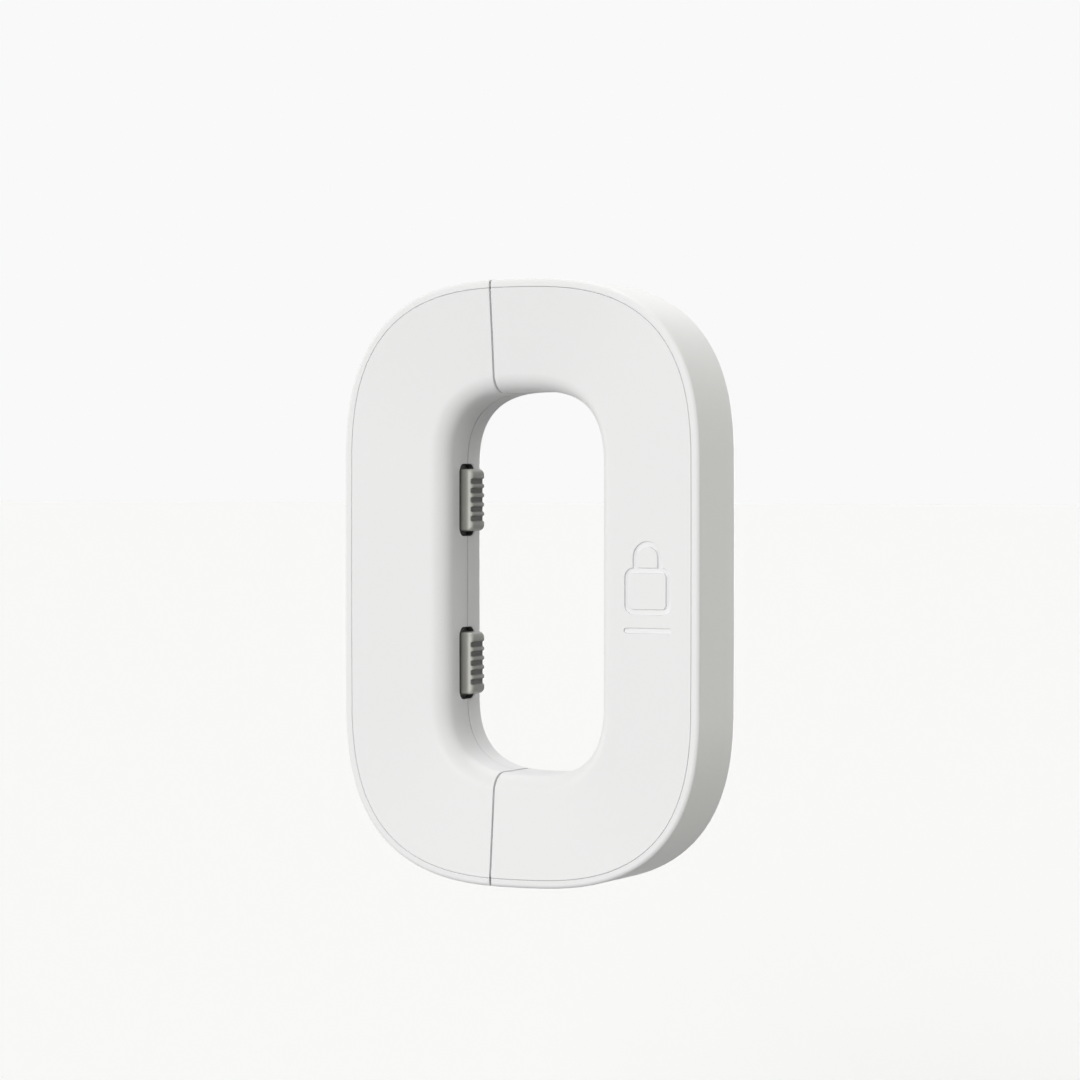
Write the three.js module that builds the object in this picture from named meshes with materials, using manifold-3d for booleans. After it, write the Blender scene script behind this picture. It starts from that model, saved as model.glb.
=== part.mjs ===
// Refrigerator lock: a rounded ring split into two halves, each stuck to one of a pair of doors.
// Two sprung bolts in the left half reach into the right half. Fingers put through the ring press
// two ribbed buttons to draw the bolts back. Millimetres. X is right, Y points at the doors, Z is up,
// and the origin is the middle of the whole lock.

import * as THREE from 'three';
import { mergeVertices } from 'three/addons/utils/BufferGeometryUtils.js';
import Module from 'manifold-3d';

// Ring outline. The corners are superellipses that reach to the middle of the top and bottom.
const ringWidth = 77.2;
const ringHeight = 120;
const ringCornerRise = 38.5;
const holeWidth = 34.2;
const holeHeight = 76;
const holeCornerRise = 15.8;
const cornerBow = 2.75;
const cornerSteps = 12;

// Housing depth and walls
const housingDepth = 18.3;
const outerWall = 1.6;
const innerWall = 1.6;
const floorThickness = 2;
const endWall = 2;
const rimRadius = 1.1;
const rearRadius = 0.5;
const rearWallHeight = 5.75;
const ledgeReach = 0.9;
const ledgeGap = 0.2;

// Front covers: the face falls from the rim towards the hole, then rolls into it
const coverThickness = 1.8;
const faceFall = 1.7;
const holeFillet = 4.4;
const filletSteps = 5;
const partingGap = 0.15;

// Split between the halves
const splitOffset = 6.1;
const splitGap = 0.4;

// Foam pads on the back
const padThickness = 1;
const padRecess = 0.4;
const padMargin = 3;
const padGap = 0.2;

// Buttons
const buttonSpacing = 32.8;
const buttonHeight = 12.3;
const buttonDepth = 5.7;
const buttonProud = 2.3;
const buttonEndRadius = 1.3;
const buttonSideRadius = 0.7;
const buttonGap = 1;
const slotCornerRadius = 1.4;
const grooveCount = 5;
const groovePitch = 1.87;
const grooveDepth = 0.5;
const grooveRadius = 0.6;
const earReach = 1.5;
const earThickness = 1.2;
const stopGap = 0.1;

// Latch slides
const slideThickness = 4.6;
const armInset = 6.4;
const armWidth = 5.6;
const armEndAngle = THREE.MathUtils.degToRad(78);
const footHeight = 12;
const tongueLength = 3;
const tongueHeight = 7;
const tongueThickness = 2.6;
const socketGap = 0.1;
const boltHeight = 5;
const boltRoot = 4;
const boltTipThickness = 1.5;
const boltGap = 0.4;
const slideGap = 0.25;

// Return springs
const springDiameter = 4.4;
const springWire = 0.5;
const springCoils = 5;
const springEndGap = 0.3;
const springPinRadius = 1.4;
const springPinLength = 1.3;

// Rails and guide ribs under the slides, and stiffening ribs in the right half
const ribThickness = 1.2;
const railSpread = 3.6;
const boltRailLength = 5;
const stiffenerSpacing = 34;

// Slide retainers and their screws
const retainerAngle = THREE.MathUtils.degToRad(64);
const retainerThickness = 1.4;
const innerPostOutset = 4;
const postRadius = 1.7;
const retainerMargin = 0.2;
const retainerScrew = { radius: 0.8, length: 5, headRadius: 1.6, headHeight: 1.1 };

// Cover screws, driven from the back into bosses on the covers
const coverScrew = { radius: 1, length: 9, headRadius: 2, headHeight: 1.5 };
const coverScrewAngle = THREE.MathUtils.degToRad(45);
const headSink = 0.3;
const cupWall = 1;
const cupFloor = 1.6;
const cupToWall = 0.8;
const bossRadius = 2.4;
const screwGap = 0.15;
const screwTip = 0.8;
const headCrown = 0.7;

// Facets of round forms
const roundSides = 16;
const arcSteps = 4;
const stepsPerCoil = 8;
const wireSides = 5;

// Places that follow from the sizes
const overallDepth = housingDepth + padThickness - padRecess;
const frontY = -overallDepth / 2;
const backY = frontY + housingDepth;
const floorY = backY - floorThickness;
const partingY = backY - rearWallHeight;
const padSeatY = backY - padRecess;
const leftEnd = -splitOffset - splitGap / 2;
const rightEnd = -splitOffset + splitGap / 2;
const wallX = -holeWidth / 2;
const outerInsideX = -ringWidth / 2 + outerWall;
const earFrontX = wallX - innerWall - stopGap;
const earBackX = earFrontX - earThickness;
const armFrontX = wallX - armInset;
const armBackX = armFrontX - armWidth;
const slideFrontY = partingY - slideThickness / 2;
const slideRearY = partingY + slideThickness / 2;
const postTopY = slideFrontY - slideGap;
const boltReach = buttonProud + splitGap / 2;
const boltZ = holeHeight / 2 + armInset + armWidth / 2;
const headSeatY = padSeatY - headSink - coverScrew.headHeight;
const cupTopY = headSeatY - cupFloor;
const cupRadius = coverScrew.headRadius + screwGap + cupWall;
const sides = [{ name: 'upper', up: 1 }, { name: 'lower', up: -1 }];

const wasm = await Module();
wasm.setup();

// Solids and meshes

function solid(geometry) {
  const bare = geometry.clone();
  bare.deleteAttribute('normal');
  bare.deleteAttribute('uv');
  const merged = mergeVertices(bare);
  return new wasm.Manifold(new wasm.Mesh({
    numProp: 3,
    vertProperties: new Float32Array(merged.attributes.position.array),
    triVerts: new Uint32Array(merged.index.array),
  }));
}

function geometryOf(body) {
  const mesh = body.getMesh();
  const geometry = new THREE.BufferGeometry();
  geometry.setAttribute('position', new THREE.BufferAttribute(mesh.vertProperties, mesh.numProp));
  geometry.setIndex(new THREE.BufferAttribute(mesh.triVerts, 1));
  geometry.computeVertexNormals();
  return geometry;
}

function joined(first, ...others) {
  return others.reduce((whole, other) => whole.add(other), first);
}

function cut(first, ...others) {
  return others.reduce((whole, other) => whole.subtract(other), first);
}

function block(xRange, yRange, zRange) {
  const ranges = [xRange, yRange, zRange];
  const geometry = new THREE.BoxGeometry(...ranges.map(([from, to]) => Math.abs(to - from)));
  geometry.translate(...ranges.map(([from, to]) => (from + to) / 2));
  return solid(geometry);
}

// A round post or hole along Y
function post(place, radius, yFrom, yTo) {
  const geometry = new THREE.CylinderGeometry(radius, radius, yTo - yFrom, roundSides);
  geometry.translate(place.x, (yFrom + yTo) / 2, place.y);
  return solid(geometry);
}

// A round pin along X
function pin(y, z, radius, xFrom, xTo) {
  const geometry = new THREE.CylinderGeometry(radius, radius, xTo - xFrom, roundSides);
  geometry.rotateZ(Math.PI / 2);
  geometry.translate((xFrom + xTo) / 2, y, z);
  return solid(geometry);
}

// An outline drawn in X and Z, made as thick as the given range of Y
function plate(shape, yFrom, yTo, curveSegments = arcSteps) {
  const depth = yTo - yFrom;
  const geometry = new THREE.ExtrudeGeometry(shape, { depth, bevelEnabled: false, curveSegments });
  geometry.rotateX(Math.PI / 2);
  geometry.translate(0, yTo, 0);
  return solid(geometry);
}

// An outline drawn in Y and Z, run along the given range of X
function runner(shape, xFrom, xTo) {
  const geometry = new THREE.ExtrudeGeometry(shape, {
    depth: xTo - xFrom,
    bevelEnabled: false,
    curveSegments: arcSteps,
  });
  const [alongX, alongY, alongZ] = [0, 1, 2].map((axis) => new THREE.Vector3().setComponent(axis, 1));
  geometry.applyMatrix4(new THREE.Matrix4().makeBasis(alongY, alongZ, alongX));
  geometry.translate(xFrom, 0, 0);
  return solid(geometry);
}

function roundedRectangle(centre, width, height, radius) {
  const [halfWidth, halfHeight] = [width / 2, height / 2];
  const [x, y] = [centre.x, centre.y];
  const shape = new THREE.Shape();
  shape.absarc(x + halfWidth - radius, y - halfHeight + radius, radius, -Math.PI / 2, 0);
  shape.absarc(x + halfWidth - radius, y + halfHeight - radius, radius, 0, Math.PI / 2);
  shape.absarc(x - halfWidth + radius, y + halfHeight - radius, radius, Math.PI / 2, Math.PI);
  shape.absarc(x - halfWidth + radius, y - halfHeight + radius, radius, Math.PI, Math.PI * 1.5);
  return shape;
}

// A bar with round ends between two points
function stadium(from, to, radius) {
  const heading = Math.atan2(to.y - from.y, to.x - from.x);
  const shape = new THREE.Shape();
  shape.absarc(to.x, to.y, radius, heading - Math.PI / 2, heading + Math.PI / 2);
  shape.absarc(from.x, from.y, radius, heading + Math.PI / 2, heading + Math.PI * 1.5);
  return shape;
}

// Outlines of the ring and its hole, followed by the direction that they face

const ring = { halfWidth: ringWidth / 2, rise: ringCornerRise, straight: ringHeight / 2 - ringCornerRise };
const hole = { halfWidth: holeWidth / 2, rise: holeCornerRise, straight: holeHeight / 2 - holeCornerRise };

// The point in the first quarter whose outward direction is at this angle above X
function quarterPoint(outline, angle, outset) {
  const across = outline.halfWidth * Math.cos(angle);
  const along = outline.rise * Math.sin(angle);
  const power = cornerBow / (cornerBow - 1);
  const spread = (across ** power + along ** power) ** (-1 / cornerBow);
  const x = outline.halfWidth * spread * across ** (power - 1);
  const z = outline.straight + outline.rise * spread * along ** (power - 1);
  return new THREE.Vector2(x + outset * Math.cos(angle), z + outset * Math.sin(angle));
}

// The same in the left quarters, above or below the middle
function leftPoint(outline, angle, outset, up) {
  const point = quarterPoint(outline, angle, outset);
  return new THREE.Vector2(-point.x, point.y * up);
}

// Directions spread so that the facets of a corner stray evenly from its curve
const cornerAngles = Array.from({ length: cornerSteps + 1 }, (_, step) => (
  Math.atan(Math.tan((step / cornerSteps) * Math.PI / 2) ** (2 - 2 / cornerBow))
));
const fallingAngles = cornerAngles.slice(0, -1).reverse();
const stations = [
  ...cornerAngles.map((angle) => ({ angle, x: 1, z: 1 })),
  ...fallingAngles.map((angle) => ({ angle, x: -1, z: 1 })),
  ...cornerAngles.map((angle) => ({ angle, x: -1, z: -1 })),
  ...fallingAngles.map((angle) => ({ angle, x: 1, z: -1 })),
];

const ringEdge = (inset, y) => ({ outline: ring, outset: -inset, y });
const holeEdge = (outset, y) => ({ outline: hole, outset, y });

// A closed band round the ring. Its section is a loop of edges, each at a distance from an outline.
function band(section) {
  const positions = section.flatMap(({ outline, outset, y }) => stations.flatMap((station) => {
    const point = quarterPoint(outline, station.angle, outset);
    return [Math.abs(point.x) * station.x, y, point.y * station.z];
  }));
  const count = stations.length;
  const index = section.flatMap((_, edge) => stations.flatMap((__, station) => {
    const next = (station + 1) % count;
    const here = edge * count;
    const beyond = ((edge + 1) % section.length) * count;
    return [
      here + station, here + next, beyond + station,
      here + next, beyond + next, beyond + station,
    ];
  }));
  const geometry = new THREE.BufferGeometry();
  geometry.setAttribute('position', new THREE.Float32BufferAttribute(positions, 3));
  geometry.setIndex(index);
  return solid(geometry);
}

function between(xFrom, xTo, body) {
  return body.intersect(block([xFrom, xTo], [-ringHeight, ringHeight], [-ringHeight, ringHeight]));
}

const halves = [
  { name: 'left', facing: -1, end: leftEnd },
  { name: 'right', facing: 1, end: rightEnd },
];

// What lies on this half's side of its end, moved outwards by a margin
function halfOf(half, body, margin = 0) {
  const xEnd = half.end + half.facing * margin;
  const xFar = half.facing * ringWidth;
  return between(Math.min(xEnd, xFar), Math.max(xEnd, xFar), body);
}

// Quarter rounds: from the first edge to the second, as shares of the reach in each direction
const quarterRound = Array.from({ length: filletSteps + 1 }, (_, step) => {
  const turn = (step / filletSteps) * Math.PI / 2;
  return { out: 1 - Math.sin(turn), back: 1 - Math.cos(turn) };
});

// Rear housings

const housingSection = [
  ringEdge(rearRadius, backY),
  ringEdge(0, backY - rearRadius),
  ...quarterRound.map(({ out, back }) => ringEdge(rimRadius * back, frontY + rimRadius * out)),
  ringEdge(outerWall, frontY),
  ringEdge(outerWall, frontY + coverThickness + ledgeGap),
  ringEdge(outerWall + ledgeReach, frontY + coverThickness + ledgeGap),
  ringEdge(outerWall, frontY + coverThickness + ledgeGap + 2 * ledgeReach),
  ringEdge(outerWall, floorY),
  holeEdge(innerWall, floorY),
  holeEdge(innerWall, partingY),
  holeEdge(0, partingY),
  holeEdge(0, backY - rearRadius),
  holeEdge(rearRadius, backY),
];

// The underside of a cover, from the hole wall to the rim, moved away from it by a gap
function coverUnderside(gap) {
  const [reach, drop] = [holeFillet - innerWall, holeFillet - coverThickness];
  return quarterRound.map(({ out, back }) => (
    holeEdge(innerWall + gap + reach * back, frontY + faceFall + coverThickness + gap + drop * out)
  ));
}

// The wall that closes a half at the split, pierced for the bolts. It runs past the end, to be cut there.
function endWallBody(half) {
  const body = between(half.end - endWall, half.end + endWall, band([
    ringEdge(outerWall / 2, floorY + floorThickness / 2),
    ringEdge(outerWall / 2, frontY + coverThickness + 2 * ledgeGap),
    ...coverUnderside(partingGap).toReversed(),
    holeEdge(innerWall + partingGap, partingY + partingGap),
    holeEdge(innerWall / 2, partingY + partingGap),
    holeEdge(innerWall / 2, floorY + floorThickness / 2),
  ]));
  return cut(body, ...sides.map(({ up }) => block(
    [half.end - 2 * endWall, half.end + 2 * endWall],
    [slideFrontY - boltGap, slideRearY + boltGap],
    [up * boltZ - boltHeight / 2 - boltGap, up * boltZ + boltHeight / 2 + boltGap],
  )));
}

// Places of a half's three cover screws, with the depth of the front face there
function coverScrewPlaces(half) {
  const cornerInset = outerWall + cupToWall + cupRadius;
  const middleInset = (ringWidth - holeWidth) / 4;
  const spots = [
    { name: 'upper', angle: coverScrewAngle, inset: cornerInset, up: 1 },
    { name: 'middle', angle: 0, inset: middleInset, up: 0 },
    { name: 'lower', angle: coverScrewAngle, inset: cornerInset, up: -1 },
  ];
  return spots.map(({ name, angle, inset, up }) => {
    const point = quarterPoint(ring, angle, -inset);
    const facing = new THREE.Vector2(Math.cos(angle), Math.sin(angle));
    const bandWidth = quarterPoint(ring, angle, 0).sub(quarterPoint(hole, angle, 0)).dot(facing);
    const share = (inset - outerWall) / (bandWidth - outerWall - holeFillet);
    const spot = new THREE.Vector2(point.x * half.facing, point.y * up);
    return { name, spot, faceY: frontY + faceFall * share };
  });
}

function padBand(half, margin, yFrom, yTo) {
  const whole = band([
    ringEdge(margin, yTo),
    ringEdge(margin, yFrom),
    holeEdge(margin, yFrom),
    holeEdge(margin, yTo),
  ]);
  return halfOf(half, whole, margin);
}

function housingTray(half) {
  const places = coverScrewPlaces(half);
  const cups = places.map(({ spot }) => post(spot, cupRadius, cupTopY, floorY + floorThickness / 2));
  const heads = places.map(({ spot }) => post(spot, coverScrew.headRadius + screwGap, headSeatY, backY));
  const shanks = places.map(({ spot }) => post(spot, coverScrew.radius + screwGap, frontY, backY));
  const tray = halfOf(half, joined(band(housingSection), endWallBody(half), ...cups));
  return cut(tray, ...heads, ...shanks, padBand(half, padMargin, padSeatY, backY + padRecess));
}

function buttonSlot(up) {
  const centre = new THREE.Vector2(partingY, up * buttonSpacing / 2);
  const outline = roundedRectangle(
    centre, buttonDepth + 2 * buttonGap, buttonHeight + 2 * buttonGap, slotCornerRadius,
  );
  return runner(outline, wallX - innerWall - stopGap, wallX + buttonProud);
}

// Posts of a slide's retainer: one beside the hole, one midway between the arm and the outer wall
function postSpots(up) {
  const armEdge = leftPoint(hole, retainerAngle, armInset + armWidth, up);
  const wallInside = leftPoint(ring, retainerAngle, -outerWall, up);
  return {
    inner: leftPoint(hole, retainerAngle, innerPostOutset, up),
    outer: armEdge.lerp(wallInside, 0.5),
  };
}

// What carries one slide inside the left housing: rails, a guide rib, a spring pin and two posts
function slideCarriers(up) {
  const z = up * buttonSpacing / 2;
  const railY = [slideRearY + slideGap, floorY + floorThickness / 2];
  const footRails = [-railSpread, railSpread].map((spread) => block(
    [armBackX, armFrontX], railY, [z + spread - ribThickness / 2, z + spread + ribThickness / 2],
  ));
  const boltRail = block(
    [leftEnd - endWall - boltRailLength, leftEnd - endWall / 2],
    railY,
    [up * boltZ - ribThickness / 2, up * boltZ + ribThickness / 2],
  );
  const guideZ = z - up * (footHeight / 2 + slideGap);
  const guide = block([armBackX, armFrontX], [slideFrontY, railY[1]], [guideZ - up * ribThickness, guideZ]);
  const pinEnds = [outerInsideX - outerWall / 2, outerInsideX + springPinLength];
  const springPin = pin(partingY, z, springPinRadius, ...pinEnds);
  const posts = Object.values(postSpots(up)).map((spot) => cut(
    post(spot, postRadius, postTopY, railY[1]),
    post(spot, retainerScrew.radius + screwGap, postTopY - screwGap, floorY),
  ));
  return [...footRails, boltRail, guide, springPin, ...posts];
}

function leftHousing(half) {
  const tray = cut(housingTray(half), ...sides.map(({ up }) => buttonSlot(up)));
  return joined(tray, ...sides.flatMap(({ up }) => slideCarriers(up)));
}

function rightHousing(half) {
  const ribs = [-stiffenerSpacing / 2, stiffenerSpacing / 2].map((z) => block(
    [-wallX + innerWall / 2, ringWidth / 2 - outerWall / 2],
    [partingY + partingGap, floorY + floorThickness / 2],
    [z - ribThickness / 2, z + ribThickness / 2],
  ));
  return joined(housingTray(half), ...ribs);
}

// Front covers

const coverSection = [
  ringEdge(outerWall + partingGap, frontY + coverThickness),
  ringEdge(outerWall + partingGap, frontY),
  ...quarterRound.map(({ out, back }) => (
    holeEdge(holeFillet * out, frontY + faceFall + holeFillet * back)
  )),
  holeEdge(0, partingY - partingGap),
  holeEdge(innerWall, partingY - partingGap),
  ...coverUnderside(0),
];

function cover(half) {
  const bosses = coverScrewPlaces(half).map(({ spot, faceY }) => cut(
    post(spot, bossRadius, faceY + coverThickness / 2, cupTopY),
    post(spot, coverScrew.radius + screwGap, headSeatY - coverScrew.length - screwGap, backY),
  ));
  const slots = half.name === 'left' ? sides.map(({ up }) => buttonSlot(up)) : [];
  return joined(cut(halfOf(half, band(coverSection)), ...slots), ...bosses);
}

// Buttons: ribbed across the front, with ears at both ends that stop behind the hole wall

function button(up) {
  const z = up * buttonSpacing / 2;
  const tipX = wallX + buttonProud;
  const earZ = buttonHeight / 2 + buttonGap + earReach;
  const outline = new THREE.Shape();
  outline.moveTo(earBackX, z - earZ);
  outline.lineTo(earFrontX, z - earZ);
  outline.lineTo(earFrontX, z - buttonHeight / 2);
  outline.absarc(
    tipX - buttonEndRadius, z - buttonHeight / 2 + buttonEndRadius, buttonEndRadius, -Math.PI / 2, 0,
  );
  const grooveX = tipX + grooveRadius - grooveDepth;
  const openAngle = Math.asin((grooveRadius - grooveDepth) / grooveRadius);
  for (let groove = 0; groove < grooveCount; groove += 1) {
    const grooveZ = z + (groove - (grooveCount - 1) / 2) * groovePitch;
    outline.absarc(grooveX, grooveZ, grooveRadius, -Math.PI / 2 - openAngle, Math.PI / 2 + openAngle, true);
  }
  outline.absarc(
    tipX - buttonEndRadius, z + buttonHeight / 2 - buttonEndRadius, buttonEndRadius, 0, Math.PI / 2,
  );
  outline.lineTo(earFrontX, z + buttonHeight / 2);
  outline.lineTo(earFrontX, z + earZ);
  outline.lineTo(earBackX, z + earZ);
  const ribbed = plate(outline, partingY - buttonDepth, partingY + buttonDepth);
  const across = new THREE.Shape();
  across.moveTo(earBackX - earThickness, partingY + buttonDepth / 2);
  across.lineTo(earBackX - earThickness, partingY - buttonDepth / 2);
  across.absarc(
    tipX - buttonSideRadius, partingY - buttonDepth / 2 + buttonSideRadius, buttonSideRadius, -Math.PI / 2, 0,
  );
  across.absarc(
    tipX - buttonSideRadius, partingY + buttonDepth / 2 - buttonSideRadius, buttonSideRadius, 0, Math.PI / 2,
  );
  const rounding = new THREE.ExtrudeGeometry(across, {
    depth: ringHeight,
    bevelEnabled: false,
    curveSegments: arcSteps,
  });
  rounding.translate(0, 0, -ringHeight / 2);
  const socket = block(
    [earBackX - socketGap, earBackX + tongueLength + socketGap],
    [partingY - tongueThickness / 2 - socketGap, partingY + tongueThickness / 2 + socketGap],
    [z - tongueHeight / 2 - socketGap, z + tongueHeight / 2 + socketGap],
  );
  return cut(ribbed.intersect(solid(rounding)), socket);
}

// Latch slides: a foot behind the button, an arm round the corner and a bolt ramped on its front

function latchSlide(up) {
  const z = up * buttonSpacing / 2;
  const armLow = up * (buttonSpacing / 2 - footHeight / 2);
  const angles = cornerAngles.filter((angle) => angle < armEndAngle).concat(armEndAngle);
  const edge = (outset) => angles.map((angle) => leftPoint(hole, angle, outset, up));
  const arm = plate(new THREE.Shape([
    new THREE.Vector2(armFrontX, armLow),
    ...edge(armInset),
    ...edge(armInset + armWidth).reverse(),
    new THREE.Vector2(armBackX, armLow),
  ]), slideFrontY, slideRearY);
  const foot = block(
    [armFrontX - armWidth / 2, earBackX],
    [slideFrontY, slideRearY],
    [z - footHeight / 2, z + footHeight / 2],
  );
  const tongue = block(
    [armFrontX, earBackX + tongueLength],
    [partingY - tongueThickness / 2, partingY + tongueThickness / 2],
    [z - tongueHeight / 2, z + tongueHeight / 2],
  );
  const boltOutline = new THREE.Shape();
  boltOutline.moveTo(leftEnd - endWall - boltRoot, slideFrontY);
  boltOutline.lineTo(leftEnd, slideFrontY);
  boltOutline.lineTo(leftEnd + boltReach, slideRearY - boltTipThickness);
  boltOutline.lineTo(leftEnd + boltReach, slideRearY);
  boltOutline.lineTo(leftEnd - endWall - boltRoot, slideRearY);
  const boltShape = new THREE.ExtrudeGeometry(boltOutline, { depth: boltHeight, bevelEnabled: false });
  boltShape.translate(0, 0, up * boltZ - boltHeight / 2);
  const springPin = pin(partingY, z, springPinRadius, armBackX - springPinLength, armBackX + armWidth / 2);
  return joined(arm, foot, tongue, solid(boltShape), springPin);
}

// Return springs: one helix along X from the outer wall to the back of the slide

class SpringCurve extends THREE.Curve {
  constructor(z) {
    super();
    this.z = z;
    this.start = outerInsideX + springEndGap + springWire / 2;
    this.run = armBackX - springEndGap - springWire / 2 - this.start;
  }

  getPoint(share, target = new THREE.Vector3()) {
    const turn = share * springCoils * 2 * Math.PI;
    const radius = (springDiameter - springWire) / 2;
    return target.set(
      this.start + share * this.run,
      partingY + radius * Math.cos(turn),
      this.z + radius * Math.sin(turn),
    );
  }
}

function wireOutline() {
  const corners = Array.from({ length: wireSides }, (_, corner) => {
    const turn = (corner / wireSides) * 2 * Math.PI;
    return new THREE.Vector2(Math.cos(turn), Math.sin(turn)).multiplyScalar(springWire / 2);
  });
  return new THREE.Shape(corners);
}

function springBody(up) {
  return solid(new THREE.ExtrudeGeometry(wireOutline(), {
    steps: springCoils * stepsPerCoil,
    extrudePath: new SpringCurve(up * buttonSpacing / 2),
  }));
}

// The least gap between a spring's own turns, measured on points of its centre line
function springGapToItself() {
  const points = new SpringCurve(0).getPoints(springCoils * stepsPerCoil);
  const gaps = points.flatMap((point, here) => points.slice(here + stepsPerCoil / 2 + 1)
    .map((other) => point.distanceTo(other) - springWire));
  return Math.min(...gaps);
}

console.log(`return spring, least gap between turns: ${springGapToItself().toFixed(2)} mm`);

// Slide retainers

function retainer(up) {
  const { inner, outer } = postSpots(up);
  const outline = stadium(inner, outer, postRadius + retainerMargin);
  const bridge = plate(outline, postTopY - retainerThickness, postTopY, roundSides / 2);
  const holes = [inner, outer].map((spot) => post(
    spot, retainerScrew.radius + screwGap, postTopY - 2 * retainerThickness, postTopY + retainerThickness,
  ));
  return cut(bridge, ...holes);
}

// Screws along Y: a head seated at the given depth, and a shank that runs up or down from it

function screwBody({ radius, length, headRadius, headHeight }, place, seatY, towards) {
  const profile = [
    [0, -headHeight],
    [headRadius * headCrown, -headHeight],
    [headRadius, -headHeight / 2],
    [headRadius, 0],
    [radius, 0],
    [radius, length - screwTip],
    [0, length],
  ].map(([r, y]) => new THREE.Vector2(r, y));
  const geometry = new THREE.LatheGeometry(profile, roundSides);
  if (towards < 0) geometry.rotateX(Math.PI);
  geometry.translate(place.x, seatY, place.y);
  return solid(geometry);
}

// The assembly

const whitePlastic = { color: 0xe9e9e7, roughness: 0.5, metalness: 0 };
const greyPlastic = { color: 0x77746f, roughness: 0.6, metalness: 0 };
const slidePlastic = { color: 0xdcdad2, roughness: 0.4, metalness: 0 };
const springSteel = { color: 0xb4b6b8, roughness: 0.3, metalness: 1 };
const zincSteel = { color: 0xa9abad, roughness: 0.35, metalness: 1 };
const foam = { color: 0x55575a, roughness: 0.95, metalness: 0 };

const lock = new THREE.Group();

function add(group, name, body, finish) {
  const mesh = new THREE.Mesh(geometryOf(body), new THREE.MeshStandardMaterial(finish));
  mesh.name = name;
  group.add(mesh);
}

function addHalf(half) {
  const group = new THREE.Group();
  const housing = half.name === 'left' ? leftHousing(half) : rightHousing(half);
  add(group, `${half.name}_rear_housing`, housing, whitePlastic);
  add(group, `${half.name}_front_cover`, cover(half), whitePlastic);
  for (const { name, spot } of coverScrewPlaces(half)) {
    add(group, `${half.name}_${name}_screw`, screwBody(coverScrew, spot, headSeatY, -1), zincSteel);
  }
  const pad = padBand(half, padMargin + padGap, padSeatY, padSeatY + padThickness);
  add(group, `${half.name}_adhesive_pad`, pad, foam);
  lock.add(group);
}

function addLatch({ name, up }) {
  const group = new THREE.Group();
  add(group, `${name}_button`, button(up), greyPlastic);
  add(group, `${name}_latch_slide`, latchSlide(up), slidePlastic);
  add(group, `${name}_return_spring`, springBody(up), springSteel);
  add(group, `${name}_slide_retainer`, retainer(up), slidePlastic);
  for (const [place, spot] of Object.entries(postSpots(up))) {
    const body = screwBody(retainerScrew, spot, postTopY - retainerThickness, 1);
    add(group, `${name}_retainer_screw_${place}`, body, zincSteel);
  }
  lock.add(group);
}

halves.forEach(addHalf);
sides.forEach(addLatch);

export default lock;
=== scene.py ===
"""Refrigerator lock: two half rings that meet at a split, latched by bolts behind two ribbed buttons.

The packed model is the frame. Finer shells, buttons, pads, slides and springs are modelled in place of
its plain solids, dark linings that paint the shade in the button slots are added, the screws keep
their solids, and a studio is set round the lock.
"""

import contextlib
import math

import bmesh
import bpy
import numpy
from bpy.props import FloatProperty, FloatVectorProperty, PointerProperty
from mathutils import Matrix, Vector


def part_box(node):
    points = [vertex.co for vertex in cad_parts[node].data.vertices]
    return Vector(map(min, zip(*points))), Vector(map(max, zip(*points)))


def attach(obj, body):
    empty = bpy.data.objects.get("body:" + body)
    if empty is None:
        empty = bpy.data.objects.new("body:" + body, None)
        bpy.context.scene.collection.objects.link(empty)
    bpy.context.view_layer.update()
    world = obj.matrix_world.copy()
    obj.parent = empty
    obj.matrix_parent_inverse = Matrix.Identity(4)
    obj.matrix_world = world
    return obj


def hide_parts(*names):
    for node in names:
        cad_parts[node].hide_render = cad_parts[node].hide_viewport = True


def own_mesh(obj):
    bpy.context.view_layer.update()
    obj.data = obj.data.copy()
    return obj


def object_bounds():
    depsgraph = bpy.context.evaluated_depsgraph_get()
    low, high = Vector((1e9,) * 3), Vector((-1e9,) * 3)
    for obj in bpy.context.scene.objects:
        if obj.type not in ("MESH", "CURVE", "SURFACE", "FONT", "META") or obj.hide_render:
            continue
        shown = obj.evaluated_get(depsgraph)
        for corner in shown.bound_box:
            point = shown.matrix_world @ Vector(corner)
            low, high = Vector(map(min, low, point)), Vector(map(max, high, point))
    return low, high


bl_info = {
    "name": "Refrigerator Lock",
    "version": (1, 0, 0),
    "blender": (4, 5, 0),
    "location": "View3D > Sidebar > Lock",
    "description": "Builds the shells, buttons, pads, finishes and studio of a refrigerator lock",
    "category": "Mesh",
}

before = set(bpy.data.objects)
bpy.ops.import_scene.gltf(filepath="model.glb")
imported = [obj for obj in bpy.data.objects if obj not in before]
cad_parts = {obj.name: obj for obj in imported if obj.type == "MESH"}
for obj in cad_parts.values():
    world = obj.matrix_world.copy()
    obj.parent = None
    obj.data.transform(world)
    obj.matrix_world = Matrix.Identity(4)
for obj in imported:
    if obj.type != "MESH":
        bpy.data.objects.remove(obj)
CAD_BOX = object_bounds()

MM = 0.001

# Tolerances, in metres and radians
MERGE_DISTANCE = 1e-7
FLAT_DISTANCE = 5e-6
SLIVER = 1e-6
FLAT_ANGLE = math.radians(1)
SMOOTH_ANGLE = math.radians(35)

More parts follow.
